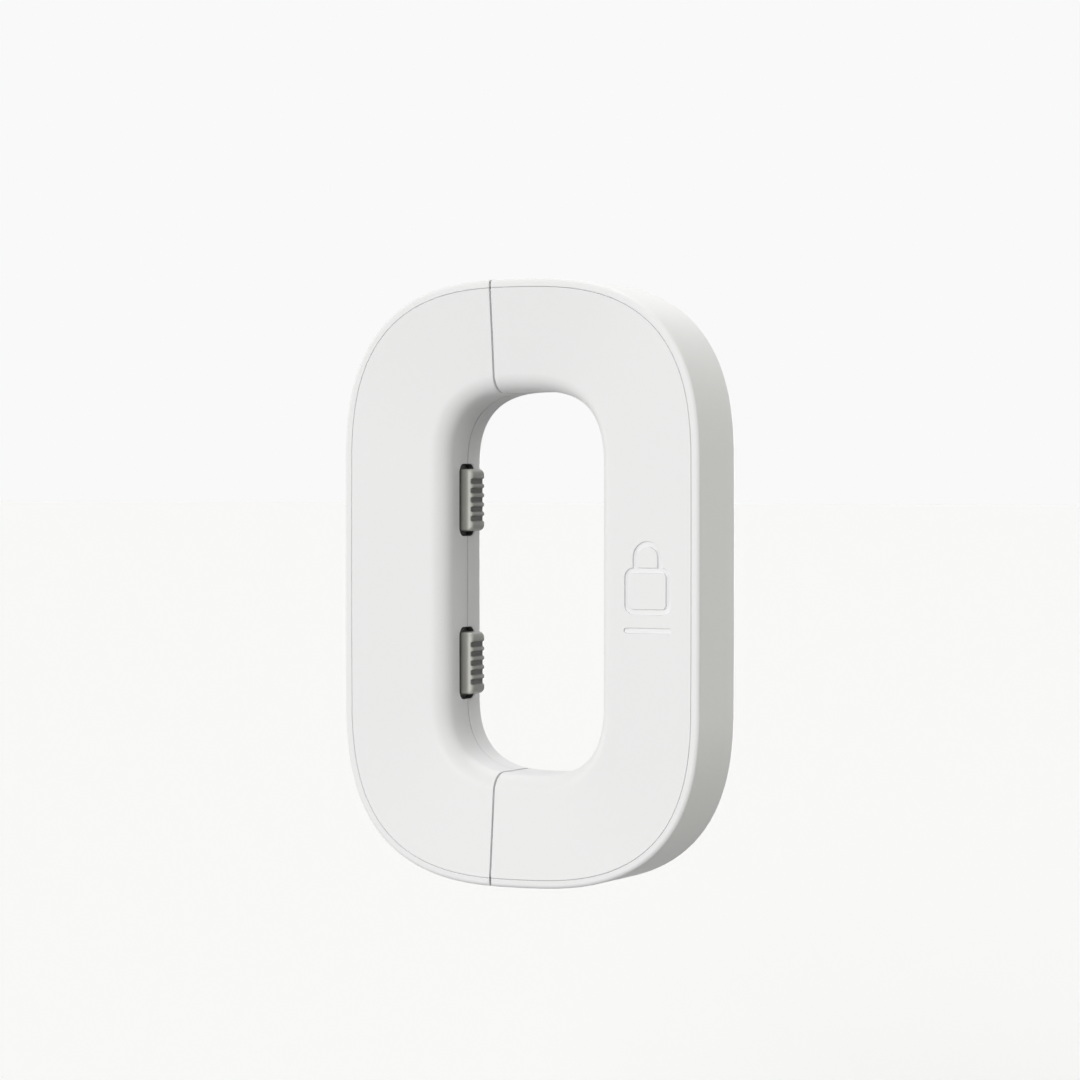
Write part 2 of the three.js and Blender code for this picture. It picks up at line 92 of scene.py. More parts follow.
# Places that the frame gives
SIDES = {"upper": 1, "lower": -1}
HALVES = {"left": -1, "right": 1}
HOUSING_BOX = {half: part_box(f"{half}_rear_housing") for half in HALVES}
FRONT = HOUSING_BOX["left"][0].y
BACK = HOUSING_BOX["left"][1].y
END = {"left": HOUSING_BOX["left"][1].x, "right": HOUSING_BOX["right"][0].x}
PAD_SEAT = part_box("left_adhesive_pad")[0].y
PAD_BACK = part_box("left_adhesive_pad")[1].y
BUTTON_BOX = {side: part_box(f"{side}_button") for side in SIDES}
PARTING = (BUTTON_BOX["upper"][0].y + BUTTON_BOX["upper"][1].y) / 2
SLIDE_LOW, SLIDE_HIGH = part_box("upper_latch_slide")

# Steps of the curves
CORNER_STEPS = 26
FILLET_STEPS = 14
RIM_STEPS = 8
ROUND_STEPS = 6
SMALL_STEPS = 4
ROUND_SIDES = 40
COIL_STEPS = 24
WIRE_SIDES = 10

# Shares of other sizes
RIB_DRAFT = 0.1  # of a rib's thickness
HEAD_HEIGHT = 0.75  # of a screw head's radius
BOSS_WALL = 1.25  # of a screw cup's wall
BAR_ROUND = 0.49  # of the bar's thickness
SOCKET_ROUND = 0.1  # of the socket's depth
CLOSE_PITCH = 1.1  # of the spring's wire
LIP_INSIDE = 0.25  # of the lip's sink
HOLD = 4  # of the edge break, from a round to the loop that keeps its neighbour flat
FLAT_FACE = (0.02, 0.96)  # of the way from a cover's rim to its round

# Grooves across a button, and which of its faces count as grooved and get painted shade
GROOVES = 5
GROOVE_REACH = 1.2
GROOVE_FACING = 0.8

# Sockets of a Mix node that mixes colours: the factor and the two colours, and the result
MIX_INPUTS = (0, 6, 7)
MIX_OUTPUT = 2

# Studio
FLOOR_SIZE = 40  # metres
SENSOR_WIDTH = 36  # millimetres
CLIP_START = 0.05  # metres
WHITE = (1, 1, 1)

# Where each lamp shines from
LAMP_PLACES = {
    "front": (0, -1, 0.22),
    "left": (-1, -0.15, 0.25),
    "right": (1, -0.1, 0.25),
    "top": (0, 0, 1),
    "behind": (0, 0.6, 0.8),
    "rear": (0, 1, 0),
    "low_left": (-0.75, -0.5, -0.45),
    "low_right": (0.9, -0.2, -0.4),
}


# Sizes and colours


def number(name, description, default, **kind):
    """A number for the sidebar."""
    return FloatProperty(name=name, description=description, default=default, **kind)


def length(name, description, size):
    """A size for the sidebar, given in millimetres."""
    return number(name, description, size * MM, unit="LENGTH", precision=5)


def angle(name, description, degrees):
    """An angle for the sidebar, given in degrees."""
    return number(name, description, math.radians(degrees), subtype="ANGLE")


def level(name, description, default):
    """A brightness for the sidebar, where 1 is white."""
    return number(name, description, default, min=0)


def colour(name, description, default):
    """A linear colour for the sidebar."""
    return FloatVectorProperty(
        name=name, description=description, default=default, subtype="COLOR", size=3, min=0, max=1
    )


class ShellSizes(bpy.types.PropertyGroup):
    """Sizes of the housings and covers."""

    ring_width: length("Ring width", "Across the whole ring", (CAD_BOX[1].x - CAD_BOX[0].x) / MM)
    ring_height: length("Ring height", "Height of the whole ring", (CAD_BOX[1].z - CAD_BOX[0].z) / MM)
    ring_rise: length("Ring corner rise", "Height of the ring's rounded corners", 38.5)
    hole_width: length("Hole width", "Across the finger hole", 34.2)
    hole_height: length("Hole height", "Height of the finger hole", 76)
    hole_rise: length("Hole corner rise", "Height of the hole's rounded corners", 15.8)
    bow: number("Corner bow", "Fullness of the corners; 2 is an ellipse", 2.75)
    wall: length("Wall", "Thickness of the outer and inner walls", 1.6)
    floor: length("Floor", "Thickness of the housing's floor", 2)
    end_wall: length("End wall", "Thickness of the walls at the split", 2)
    rim_radius: length("Rim radius", "Round of the outer front edge", 0.8)
    rear_radius: length("Rear radius", "Round of the rear edges", 0.5)
    ledge: length("Ledge", "Reach of the ledge under the cover", 0.9)
    ledge_gap: length("Ledge gap", "Room between the cover and its ledge", 0.2)
    cover: length("Cover", "Thickness of the front covers", 1.8)
    fall: length("Face fall", "Fall of the front face from the rim to the hole", 1.7)
    right_fall: length("Right face fall", "Fall of the front face beside the sign", 0.5)
    fillet: length("Hole fillet", "Reach of the round into the hole", 3.8)
    right_fillet: length("Right hole fillet", "Reach of the round beside the sign", 2.65)
    fillet_depth: length("Fillet depth", "Depth of the round into the hole", 4.4)
    right_depth: length("Right fillet depth", "Depth of the round beside the sign", 4.2)
    lip: length("Lip", "How far the lip under the right cover reaches into the split", 0.35)
    lip_sink: length("Lip sink", "How deep that lip lies below the face", 0.7)
    line: length("Front line", "Width of the line between cover and rim", 0.06)
    seam: length("Inner seam", "Width of the seam round the hole wall", 0.24)
    edge: length("Edge break", "Bevel of the sharp edges", 0.1)
    pad_margin: length("Pad margin", "From the outlines to the pad's recess", 3)
    slot_gap: length("Slot gap", "Room in front of, above and below a button in its slot", 1)
    slot_back_gap: length("Slot back gap", "Room behind a button in its slot", 0.35)
    slot_radius: length("Slot radius", "Corner radius of the button slots", 1.9)
    # Dark linings of the button slots, which paint the shade in the gaps round the buttons
    shade_lining: length("Shade lining", "Thickness of the dust seals that line the slots", 0.1)
    shade_lining_front: length("Shade lining front", "What a shade lining is thicker by in front of a button", 0.42)
    bolt_height: length("Bolt height", "Height of a latch bolt", 5)
    bolt_place: length("Bolt place", "Height of the bolts above the middle", 47.2)
    bolt_gap: length("Bolt gap", "Room round a bolt in its window", 0.4)
    rib: length("Rib", "Thickness of the ribs and rails inside the housings", 1.2)
    rail_spread: length("Rail spread", "From the middle of a slide's foot to its rails", 3.6)
    arm_inset: length("Arm inset", "From the hole wall to the arm of a slide", 6.4)
    arm_width: length("Arm width", "Width of a slide's arm", 5.6)
    foot_height: length("Foot height", "Height of a slide's foot", 12)
    bolt_rail: length("Bolt rail", "Length of the rail under a bolt", 5)
    stiffener: length("Stiffener place", "Height of the right housing's ribs above the middle", 17)
    pin_radius: length("Pin radius", "Radius of the pins in the springs", 1.4)
    pin_length: length("Pin length", "Reach of the pins into the springs", 1.3)
    post_radius: length("Post radius", "Radius of the posts under the slide retainers", 1.7)
    slide_gap: length("Slide gap", "Room between a slide and its rails", 0.25)
    cup_wall: length("Cup wall", "Wall of the cups and bosses round the screws", 1)
    cup_floor: length("Cup floor", "Floor of the screw cups", 1.6)
    screw_gap: length("Screw gap", "Room round a screw in its hole", 0.15)


class ButtonSizes(bpy.types.PropertyGroup):
    """Sizes of the ribbed buttons."""

    height: length("Height", "Height of the ribbed part", 12.5)
    end_radius: length("End radius", "Round of the ends", 1.3)
    front_radius: length("Front radius", "Round of the long side in front", 0.9)
    rear_radius: length("Rear radius", "Round of the long side at the back", 0.2)
    end_share: number("End share", "Share of those rounds that the ends take", 0.45, subtype="FACTOR")
    pitch: length("Groove pitch", "From groove to groove", 1.87)
    groove_depth: length("Groove depth", "Depth of the grooves", 0.45)
    groove_radius: length("Groove radius", "Round at the foot of a groove's walls", 0.25)
    rib_radius: length("Rib radius", "Round of a rib's top", 0.42)
    rib_lean: angle("Rib lean", "Lean of the groove walls from the button's face", 68)
    ear: length("Ear", "Thickness of the ears behind the wall", 1.2)
    tongue_length: length("Socket length", "Depth of the socket for the slide's tongue", 3.1)
    tongue_height: length("Socket height", "Height of the socket", 7.2)
    tongue_depth: length("Socket depth", "Socket from front to back", 2.8)


class SignSizes(bpy.types.PropertyGroup):
    """Sizes of the padlock sign sunk into the right cover."""

    middle: length("Middle", "Place of the sign across the lock", 27.68)
    body_width: length("Body width", "Width of the padlock's body", 9.96)
    body_height: length("Body height", "Height of the padlock's body", 9.15)
    body_place: length("Body place", "Height of the body's middle", -1.15)
    body_radius: length("Body radius", "Outer corner radius of the body", 1.9)
    shackle_radius: length("Shackle radius", "Outer radius of the shackle", 3.18)
    shackle_place: length("Shackle place", "Height of the shackle's centre", 5.42)
    stroke: length("Stroke", "Width of the sunk line", 1.1)
    depth: length("Depth", "Depth of the sunk line", 0.55)
    lean: length("Lean", "What the walls of the sunk line lean inwards", 0.06)
    bar_width: length("Bar width", "Width of the plain bar under the padlock", 10.2)
    bar_place: length("Bar place", "Height of the bar's middle", -8.8)


class LatchSizes(bpy.types.PropertyGroup):
    """Sizes of the slides, retainers and return springs."""

    easing: length("Easing", "Rounding of the edges of the slides and retainers", 0.3)
    spring_wire: length("Spring wire", "Thickness of the return springs' wire", 0.5)
    spring_turns: number("Spring turns", "Turns of a return spring", 6.5)
    closed_turns: number("Closed turns", "Turns that lie close at each end of a spring", 1)


class FinishColours(bpy.types.PropertyGroup):
    """Colours of the finishes."""

    shell: colour("Shell", "Satin white moulding", (0.815, 0.815, 0.815))
    button: colour("Button", "Warm grey moulding", (0.25, 0.251, 0.229))
    slide: colour("Slide", "Natural bearing plastic", (0.7, 0.68, 0.62))
    steel: colour("Spring steel", "Drawn wire", (0.55, 0.56, 0.57))
    zinc: colour("Zinc", "Plated screws", (0.52, 0.54, 0.56))
    foam: colour("Foam", "Closed-cell pads", (0.075, 0.078, 0.082))


class StudioSettings(bpy.types.PropertyGroup):
    """Camera, lamps and floor."""

    azimuth: angle("Azimuth", "Camera's turn round the lock", 25.251)
    elevation: angle("Elevation", "Camera's rise above the horizon", 1.6)
    distance: length("Distance", "From the camera to the lock", 776.5)
    lens: number("Lens", "Focal length in millimetres", 130.2)
    shift_x: number("Shift X", "Sideways shift of the frame", 0.0022)
    shift_y: number("Shift Y", "Upward shift of the frame", 0.0396)
    floor_drop: length("Floor drop", "How far the floor lies below the lock", 90)
    floor_tone: level("Floor tone", "Tone of the floor in the light that it throws back", 0.09)
    floor_seen: level("Floor seen", "Tone of the floor where it is seen", 0.988)
    backdrop: level("Backdrop", "Brightness of the backdrop", 0.947)
    sky: level("Sky", "Brightness of the soft light all round", 0.12)
    front: level("Front lamp", "What the lamp in front gives a white face", 0.7)
    left: level("Left lamp", "What the lamp on the left gives a white face", 0.22)
    right: level("Right lamp", "What the lamp on the right gives a white face", 0.24)
    top: level("Top lamp", "What the lamp above gives a white face", 0.23)
    behind: level("Lamp behind", "What the lamp behind and above gives a white face", 0.415)
    rear: level("Rear lamp", "What the lamp straight behind gives a white face", 0.3)
    low_left: level("Low left lamp", "What the lamp low on the left gives a white face", 0.25)
    low_right: level("Low right lamp", "What the lamp low on the right gives a white face", 0.11)
    spread: angle("Lamp spread", "How wide the soft lamps are", 40)
    rear_spread: angle("Rear spread", "How wide the rear lamp is", 10)
    side_tint: colour("Side tint", "Tint of the lamps on the left and right", (1, 1, 0.9))


# Modelling


def make_active(piece):
    """Selects one object alone."""
    bpy.ops.object.select_all(action="DESELECT")
    piece.select_set(True)
    bpy.context.view_layer.objects.active = piece


@contextlib.contextmanager
def edited(piece):
    """Opens a piece in edit mode with all of it selected, and closes it again."""
    make_active(piece)
    bpy.ops.object.mode_set(mode="EDIT")
    bpy.ops.mesh.select_all(action="SELECT")
    yield
    bpy.ops.object.mode_set(mode="OBJECT")


def apply_modifier(piece, kind, **settings):
    """Adds a modifier to the active piece and applies it."""
    modifier = piece.modifiers.new(kind.lower(), kind)
    for name, value in settings.items():
        setattr(modifier, name, value)
    bpy.ops.object.modifier_apply(modifier=modifier.name)


def loft(name, loops, closed=False):
    """A skin through loops of points. Its ends are filled, or meet each other where it is closed."""
    bpy.ops.object.select_all(action="DESELECT")
    bpy.ops.mesh.primitive_circle_add(vertices=len(loops[0]), radius=MM, location=(0, 0, 0))
    piece = bpy.context.object
    piece.name = name
    piece.data.name = name
    with edited(piece):
        mesh = bmesh.from_edit_mesh(piece.data)
        place = mesh.verts.layers.int.new("place")
        for count, vertex in enumerate(mesh.verts):
            vertex[place] = count
            vertex.co = loops[0][count]
        following = loops[1:] + loops[:1] if closed else loops[1:]
        for loop in following:
            bpy.ops.mesh.extrude_region()
            mesh = bmesh.from_edit_mesh(piece.data)
            place = mesh.verts.layers.int["place"]
            for vertex in mesh.verts:
                if vertex.select:
                    vertex.co = loop[vertex[place]]
        mesh.verts.layers.int.remove(place)
        bmesh.update_edit_mesh(piece.data)
        bpy.ops.mesh.select_all(action="SELECT")
        bpy.ops.mesh.remove_doubles(threshold=MERGE_DISTANCE)
        if not closed:
            bpy.ops.mesh.fill_holes(sides=0)
        bpy.ops.mesh.normals_make_consistent(inside=False)
    return piece


def combine(piece, operation, tools):
    """Joins the tools to a piece, or cuts them out of it, and removes them."""
    first, *others = tools
    make_active(first)
    for other in others:
        other.select_set(True)
    if others:
        bpy.ops.object.join()
    make_active(piece)
    apply_modifier(piece, "BOOLEAN", operation=operation, solver="MANIFOLD", object=first)
    bpy.data.objects.remove(first)


def cut_at(piece, x, keep):
    """Cuts a piece at x and closes the cut. Keep is -1 for what lies left of it, 1 for right."""
    with edited(piece):
        bpy.ops.mesh.bisect(
            plane_co=(x, 0, 0),
            plane_no=(1, 0, 0),
            use_fill=True,
            clear_inner=keep > 0,
            clear_outer=keep < 0,
            threshold=MERGE_DISTANCE,
        )


def break_end_edges(piece, x, width):
    """Bevels the edges round the faces that lie at x."""
    with edited(piece):
        bpy.ops.mesh.select_mode(type="FACE")
        bpy.ops.mesh.select_all(action="DESELECT")
        mesh = bmesh.from_edit_mesh(piece.data)
        for face in mesh.faces:
            face.select_set(all(abs(vertex.co.x - x) < FLAT_DISTANCE for vertex in face.verts))
        bmesh.update_edit_mesh(piece.data)
        bpy.ops.mesh.region_to_loop()
        bpy.ops.mesh.bevel(offset=width, segments=2, profile=0.5, affect="EDGES")
        bpy.ops.mesh.select_mode(type="VERT")


def eased_copy(node, name, easing):
    """A copy of a plain solid with its facets joined into flat faces and its edges eased."""
    piece = bpy.data.objects.new(name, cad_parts[node].data.copy())
    piece.data.name = name
    bpy.context.collection.objects.link(piece)
    with edited(piece):
        bpy.ops.mesh.remove_doubles(threshold=MERGE_DISTANCE)
        bpy.ops.mesh.dissolve_limited(angle_limit=FLAT_ANGLE)
    apply_modifier(
        piece, "BEVEL", width=easing, segments=3, limit_method="ANGLE", angle_limit=SMOOTH_ANGLE
    )
    return piece


def finish_piece(piece, body, slot, *nodes):
    """Gives a new piece its slot's finish, and sets it in the frame in place of the plain solids."""
    with edited(piece):
        bpy.ops.mesh.dissolve_degenerate(threshold=SLIVER)
    piece.data.materials.clear()
    piece.data.materials.append(finish(slot))
    bpy.ops.object.shade_smooth_by_angle(angle=SMOOTH_ANGLE)
    apply_modifier(piece, "WEIGHTED_NORMAL", keep_sharp=True)
    if nodes:
        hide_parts(*nodes)
    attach(piece, body)


# Outlines


def bearings(start, end, steps):
    """Even steps from one angle in degrees to another, in radians."""
    return [math.radians(start + (end - start) * step / steps) for step in range(steps + 1)]


def turn(centre, radii, start, end, steps):
    """Points of an arc of (distance, y). At 0 degrees it faces outwards, at 90 forwards."""
    return [
        (centre[0] - radii[0] * math.cos(facing), centre[1] - radii[1] * math.sin(facing))
        for facing in bearings(start, end, steps)
    ]


def arc(centre, radius, start, end, steps):
    """Points of an arc in a plane, from one angle to another in degrees."""
    return [
        (centre[0] + radius * math.cos(facing), centre[1] + radius * math.sin(facing))
        for facing in bearings(start, end, steps)
    ]


def circle(centre, radius, sides=ROUND_SIDES):
    """Points all the way round a circle in a plane."""
    return arc(centre, radius, 0, 360, sides)[:-1]


def rounded_rectangle(centre, width, height, radius, steps=ROUND_STEPS):
    """Corner arcs of a rounded rectangle, as one loop of points in a plane."""
    across = width / 2 - radius
    up = height / 2 - radius
    corners = ((1, 1, 0), (-1, 1, 90), (-1, -1, 180), (1, -1, 270))
    return [
        point
        for x, y, start in corners
        for point in arc((centre[0] + x * across, centre[1] + y * up), radius, start, start + 90, steps)
    ]


def upright(outline, y):
    """A loop of an outline in X and Z, at a depth."""
    return [Vector((x, y, z)) for x, z in outline]


def crosswise(outline, x):
    """A loop of an outline in Y and Z, at a place across the lock."""
    return [Vector((x, y, z)) for y, z in outline]


def between(first, second, share):
    """A loop part of the way from one loop to another."""
    return [one.lerp(other, share) for one, other in zip(first, second)]


class Outline:
    """The rounded outline of the ring or of its hole, followed by the direction that it faces."""

    # Height of the points that keep the straight sides straight
    side_hold = 12 * MM

    def __init__(self, width, height, rise, bow):
        self.half_width = width / 2
        self.straight = height / 2 - rise
        self.rise = rise
        self.bow = bow
        spread = 2 - 2 / bow
        corner = [
            math.atan(math.tan(step / CORNER_STEPS * math.pi / 2) ** spread)
            for step in range(1, CORNER_STEPS)
        ]
        rising = [None, *corner, math.pi / 2]
        falling = [*reversed(corner), None]
        self.stations = [
            (facing, x, z)
            for facings, x, z in ((rising, 1, 1), (falling, -1, 1), (rising, -1, -1), (falling, 1, -1))
            for facing in facings
        ]

    def point(self, facing, outset):
        """The point of the first quarter that faces this angle above X, moved outwards."""
        if facing is None:
            return self.half_width + outset, self.side_hold
        across = self.half_width * math.cos(facing)
        along = self.rise * math.sin(facing)
        power = self.bow / (self.bow - 1)
        spread = (across**power + along**power) ** (-1 / self.bow)
        x = self.half_width * spread * across ** (power - 1)
        z = self.straight + self.rise * spread * along ** (power - 1)
        return x + outset * math.cos(facing), z + outset * math.sin(facing)

    def loops(self, section):
        """Loops through a section of distances and depths, which changes towards the right side."""
        columns = []
        for facing, x, z in self.stations:
            rightness = max(0, x) if facing is None else max(0, x) * math.cos(facing) ** 2
            spots = [(self.point(facing, outset), y) for outset, y in section(rightness)]
            columns.append([Vector((x * point[0], y, z * point[1])) for point, y in spots])
        return [list(loop) for loop in zip(*columns)]

    def loop(self, outset, y):
        """All the way round, at a distance from the outline and at a depth."""
        return self.loops(lambda rightness: [(outset, y)])[0]


def outlines(shell):
    """The outlines of the ring and of its hole."""
    ring = Outline(shell.ring_width, shell.ring_height, shell.ring_rise, shell.bow)
    hole = Outline(shell.hole_width, shell.hole_height, shell.hole_rise, shell.bow)
    return ring, hole


def round_post(name, place, radius, y_from, y_to):
    """A round post or hole along Y."""
    return loft(name, [upright(circle(place, radius), y) for y in (y_from, y_to)])


def rib(name, x_range, y_range, z_range):
    """A moulded rib that stands on the housing's floor, with rounded corners and a little draft."""
    middle = (sum(x_range) / 2, sum(z_range) / 2)
    width = x_range[1] - x_range[0]
    height = z_range[1] - z_range[0]
    draft = RIB_DRAFT * min(width, height)
    loops = []
    for y, inset in zip(y_range, (draft, 0)):
        outline = rounded_rectangle(middle, width - inset, height - inset, 2 * draft, SMALL_STEPS)
        loops.append(upright(outline, y))
    return loft(name, loops)


# Rear housings


def housing_loops(shell):
    """The section of a rear housing as loops round the ring, from the back edge inwards."""
    ring, hole = outlines(shell)
    hold = HOLD * shell.edge
    rear, rim, wall, edge = shell.rear_radius, shell.rim_radius, shell.wall, shell.edge
    floor = BACK - shell.floor
    ledge = FRONT + shell.cover + shell.ledge_gap
    outside = [
        (rear + hold, BACK),
        *turn((rear, BACK - rear), (rear, rear), -90, 0, SMALL_STEPS),
        (0, BACK - rear - hold),
        (0, FRONT + rim + hold),
        *turn((rim, FRONT + rim), (rim, rim), 0, 90, RIM_STEPS),
        (wall - edge, FRONT),
        (wall, FRONT + edge),
        (wall, ledge),
        (wall + shell.ledge, ledge),
        (wall, ledge + 2 * shell.ledge),
        (wall, floor),
    ]
    inside = [
        (wall, floor),
        (wall, PARTING),
        (edge / 2, PARTING),
        (0, PARTING + edge / 2),
        (0, PARTING + edge + hold),
        (0, BACK - rear - hold),
        *turn((rear, BACK - rear), (rear, rear), 0, -90, SMALL_STEPS),
        (rear + hold, BACK),
    ]
    loops = [ring.loop(-inset, y) for inset, y in outside]
    return loops + [hole.loop(outset, y) for outset, y in inside]


def hole_roll(shell, rightness):
    """The round from the face into the hole: its reach, its depth and the depth that it ends at."""

    def blend(left, right):
        return left + (right - left) * rightness

    reach = blend(shell.fillet, shell.right_fillet)
    depth = blend(shell.fillet_depth, shell.right_depth)
    return reach, depth, FRONT + blend(shell.fall, shell.right_fall) + depth


def cover_underside(shell, rightness, gap):
    """The inside of a cover from the hole wall to the face, moved off it by a gap."""
    reach, depth, end = hole_roll(shell, rightness)
    radii = (reach - shell.wall, depth - shell.cover)
    return turn((reach + gap, end + gap), radii, 0, 90, FILLET_STEPS // 2)


def end_wall(shell, end):
    """The wall that closes a housing at the split. It runs past the end, to be cut there."""
    ring, hole = outlines(shell)
    gap = 2 * shell.edge
    foot = BACK - shell.floor / 2
    loops = [
        ring.loop(-shell.wall / 2, foot),
        ring.loop(-shell.wall / 2, FRONT + shell.cover + 2 * shell.ledge_gap),
        *hole.loops(lambda rightness: reversed(cover_underside(shell, rightness, gap))),
        hole.loop(shell.wall + gap, PARTING + gap),
        hole.loop(shell.wall / 2, PARTING + gap),
        hole.loop(shell.wall / 2, foot),
    ]
    wall = loft("end_wall", loops, closed=True)
    cut_at(wall, end - shell.end_wall, 1)
    cut_at(wall, end + shell.end_wall, -1)
    return wall


def bolt_windows(shell, end):
    """Cutters for the two windows that the bolts pass."""
    gap = shell.bolt_gap
    depth = SLIDE_HIGH.y - SLIDE_LOW.y + 2 * gap
    height = shell.bolt_height + 2 * gap
    reach = 2 * shell.end_wall
    cutters = []
    for up in SIDES.values():
        middle = ((SLIDE_HIGH.y + SLIDE_LOW.y) / 2, up * shell.bolt_place)
        window = rounded_rectangle(middle, depth, height, gap)
        loops = [crosswise(window, x) for x in (end - reach, end + reach)]
        cutters.append(loft("bolt_window", loops))
    return cutters


def pad_recess(shell, half):
    """The cutter for the shallow bed of a foam pad."""
    ring, hole = outlines(shell)
    margin = shell.pad_margin
    over = BACK + shell.floor
    loops = [ring.loop(-margin, over), ring.loop(-margin, PAD_SEAT)]
    loops += [hole.loop(margin, PAD_SEAT), hole.loop(margin, over)]
    recess = loft("pad_recess", loops, closed=True)
    cut_at(recess, END[half] + HALVES[half] * margin, HALVES[half])
    return recess


def cover_screws(half):
    """Each cover screw of a half: its place, its head's radius, and how deep its tip and seat lie."""
    screws = []
    for name in ("upper", "middle", "lower"):
        low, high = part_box(f"{half}_{name}_screw")
        middle = (low + high) / 2
        head = (high.x - low.x) / 2
        screws.append(((middle.x, middle.z), head, low.y, high.y - HEAD_HEIGHT * head))
    return screws


def screw_holes(shell, half):
    """Cups to join to a housing, and the holes to cut through them, for its three cover screws."""
    cups = []
    heads = []
    shanks = []
    for place, head, _, seat in cover_screws(half):
        shank = head / 2 + shell.screw_gap
        cup = head + shell.screw_gap + shell.cup_wall
        cups.append(round_post("cup", place, cup, seat - shell.cup_floor, BACK - shell.floor / 2))
        heads.append(round_post("head_hole", place, head + shell.screw_gap, seat, BACK + shell.floor))
        shanks.append(round_post("shank_hole", place, shank, seat - 2 * shell.cup_floor, BACK))
    return cups, heads, shanks


def slot_outline(shell, box):
    """The outline in Y and Z of the slot round a button, grown by a distance and drawn back in front."""
    low, high = box
    depth = high.y - low.y + shell.slot_gap + shell.slot_back_gap
    height = bpy.context.scene.lock_button.height + 2 * shell.slot_gap
    middle = (high.y + shell.slot_back_gap - depth / 2, (low.z + high.z) / 2)

    def outline(growth, front=0):
        centre = (middle[0] + front / 2, middle[1])
        size = (depth + 2 * growth - front, height + 2 * growth)
        return rounded_rectangle(centre, *size, shell.slot_radius + growth)

    return outline


def button_slots(shell):
    """Cutters for the two button slots, flared where they open into the hole."""
    wall_x = -shell.hole_width / 2
    steps = [
        (wall_x - shell.wall - shell.edge, 0),
        (wall_x - shell.edge, 0),
        (wall_x, shell.edge),
        (wall_x + shell.wall, shell.edge),
    ]
    cutters = []
    for box in BUTTON_BOX.values():
        outline = slot_outline(shell, box)
        cutters.append(loft("button_slot", [crosswise(outline(growth), x) for x, growth in steps]))
    return cutters


def slide_carriers(shell):
    """What carries the slides in the left housing: rails, guides, spring pins and drilled posts."""
    foot = BACK - shell.floor / 2
    rail = (SLIDE_HIGH.y + shell.slide_gap, foot)
    arm_front = -shell.hole_width / 2 - shell.arm_inset
    arm = (arm_front - shell.arm_width, arm_front)
    inner_end = END["left"] - shell.end_wall
    bolt_run = (inner_end - shell.bolt_rail, inner_end + shell.end_wall / 2)
    outer_wall = -shell.ring_width / 2 + shell.wall
    pin_end = outer_wall + shell.pin_length
    pin_steps = [(outer_wall - shell.wall / 2, 0), (pin_end - shell.edge, 0), (pin_end, shell.edge)]

    def across(z):
        return z - shell.rib / 2, z + shell.rib / 2

    made = []
    holes = []
    for side, up in SIDES.items():
        z = sum(corner.z for corner in BUTTON_BOX[side]) / 2
        guide = z - up * (shell.foot_height / 2 + shell.slide_gap + shell.rib / 2)
        pins = [crosswise(circle((PARTING, z), shell.pin_radius - inset), x) for x, inset in pin_steps]
        made += [
            rib("foot_rail", arm, rail, across(z - shell.rail_spread)),
            rib("foot_rail", arm, rail, across(z + shell.rail_spread)),
            rib("bolt_rail", bolt_run, rail, across(up * shell.bolt_place)),
            rib("guide", arm, (SLIDE_LOW.y, foot), across(guide)),
            loft("spring_pin", pins),
        ]
        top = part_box(f"{side}_slide_retainer")[1].y
        for spot in ("inner", "outer"):
            low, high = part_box(f"{side}_retainer_screw_{spot}")
            place = ((low.x + high.x) / 2, (low.z + high.z) / 2)
            thread = (high.x - low.x) / 4 + shell.screw_gap
            made.append(round_post("retainer_post", place, shell.post_radius, top, foot))
            holes.append(round_post("post_hole", place, thread, top - shell.wall, BACK - shell.floor))
    return made, holes


def stiffeners(shell):
    """Two ribs across the right housing."""
    half_rib = shell.rib / 2
    x_range = ((shell.hole_width + shell.wall) / 2, (shell.ring_width - shell.wall) / 2)
    y_range = (PARTING + shell.edge, BACK - shell.floor / 2)
    return [
        rib("stiffener", x_range, y_range, (z - half_rib, z + half_rib))
        for z in (-shell.stiffener, shell.stiffener)
    ]


class LOCK_OT_rear_housings(bpy.types.Operator):
    """Model the two rear housings with their end walls, windows, slots and pad beds"""

    bl_idname = "lock.rear_housings"
    bl_label = "Rear Housings"

    def execute(self, context):
        shell = context.scene.lock_shell
        for half, facing in HALVES.items():
            housing = loft(f"{half}_housing_shell", housing_loops(shell), closed=True)
            combine(housing, "UNION", [end_wall(shell, END[half])])
            cut_at(housing, END[half], facing)
            cups, heads, shanks = screw_holes(shell, half)
            combine(housing, "UNION", cups)
            for cutters in (bolt_windows(shell, END[half]), heads, shanks, [pad_recess(shell, half)]):
                combine(housing, "DIFFERENCE", cutters)
            if half == "left":
                combine(housing, "DIFFERENCE", button_slots(shell))
                carriers, holes = slide_carriers(shell)
                combine(housing, "UNION", carriers)
                combine(housing, "DIFFERENCE", holes)
            else:
                combine(housing, "UNION", stiffeners(shell))
            break_end_edges(housing, END[half], shell.edge)
            finish_piece(housing, f"{half}_half", "white_plastic", f"{half}_rear_housing")
        return {"FINISHED"}


# Front covers


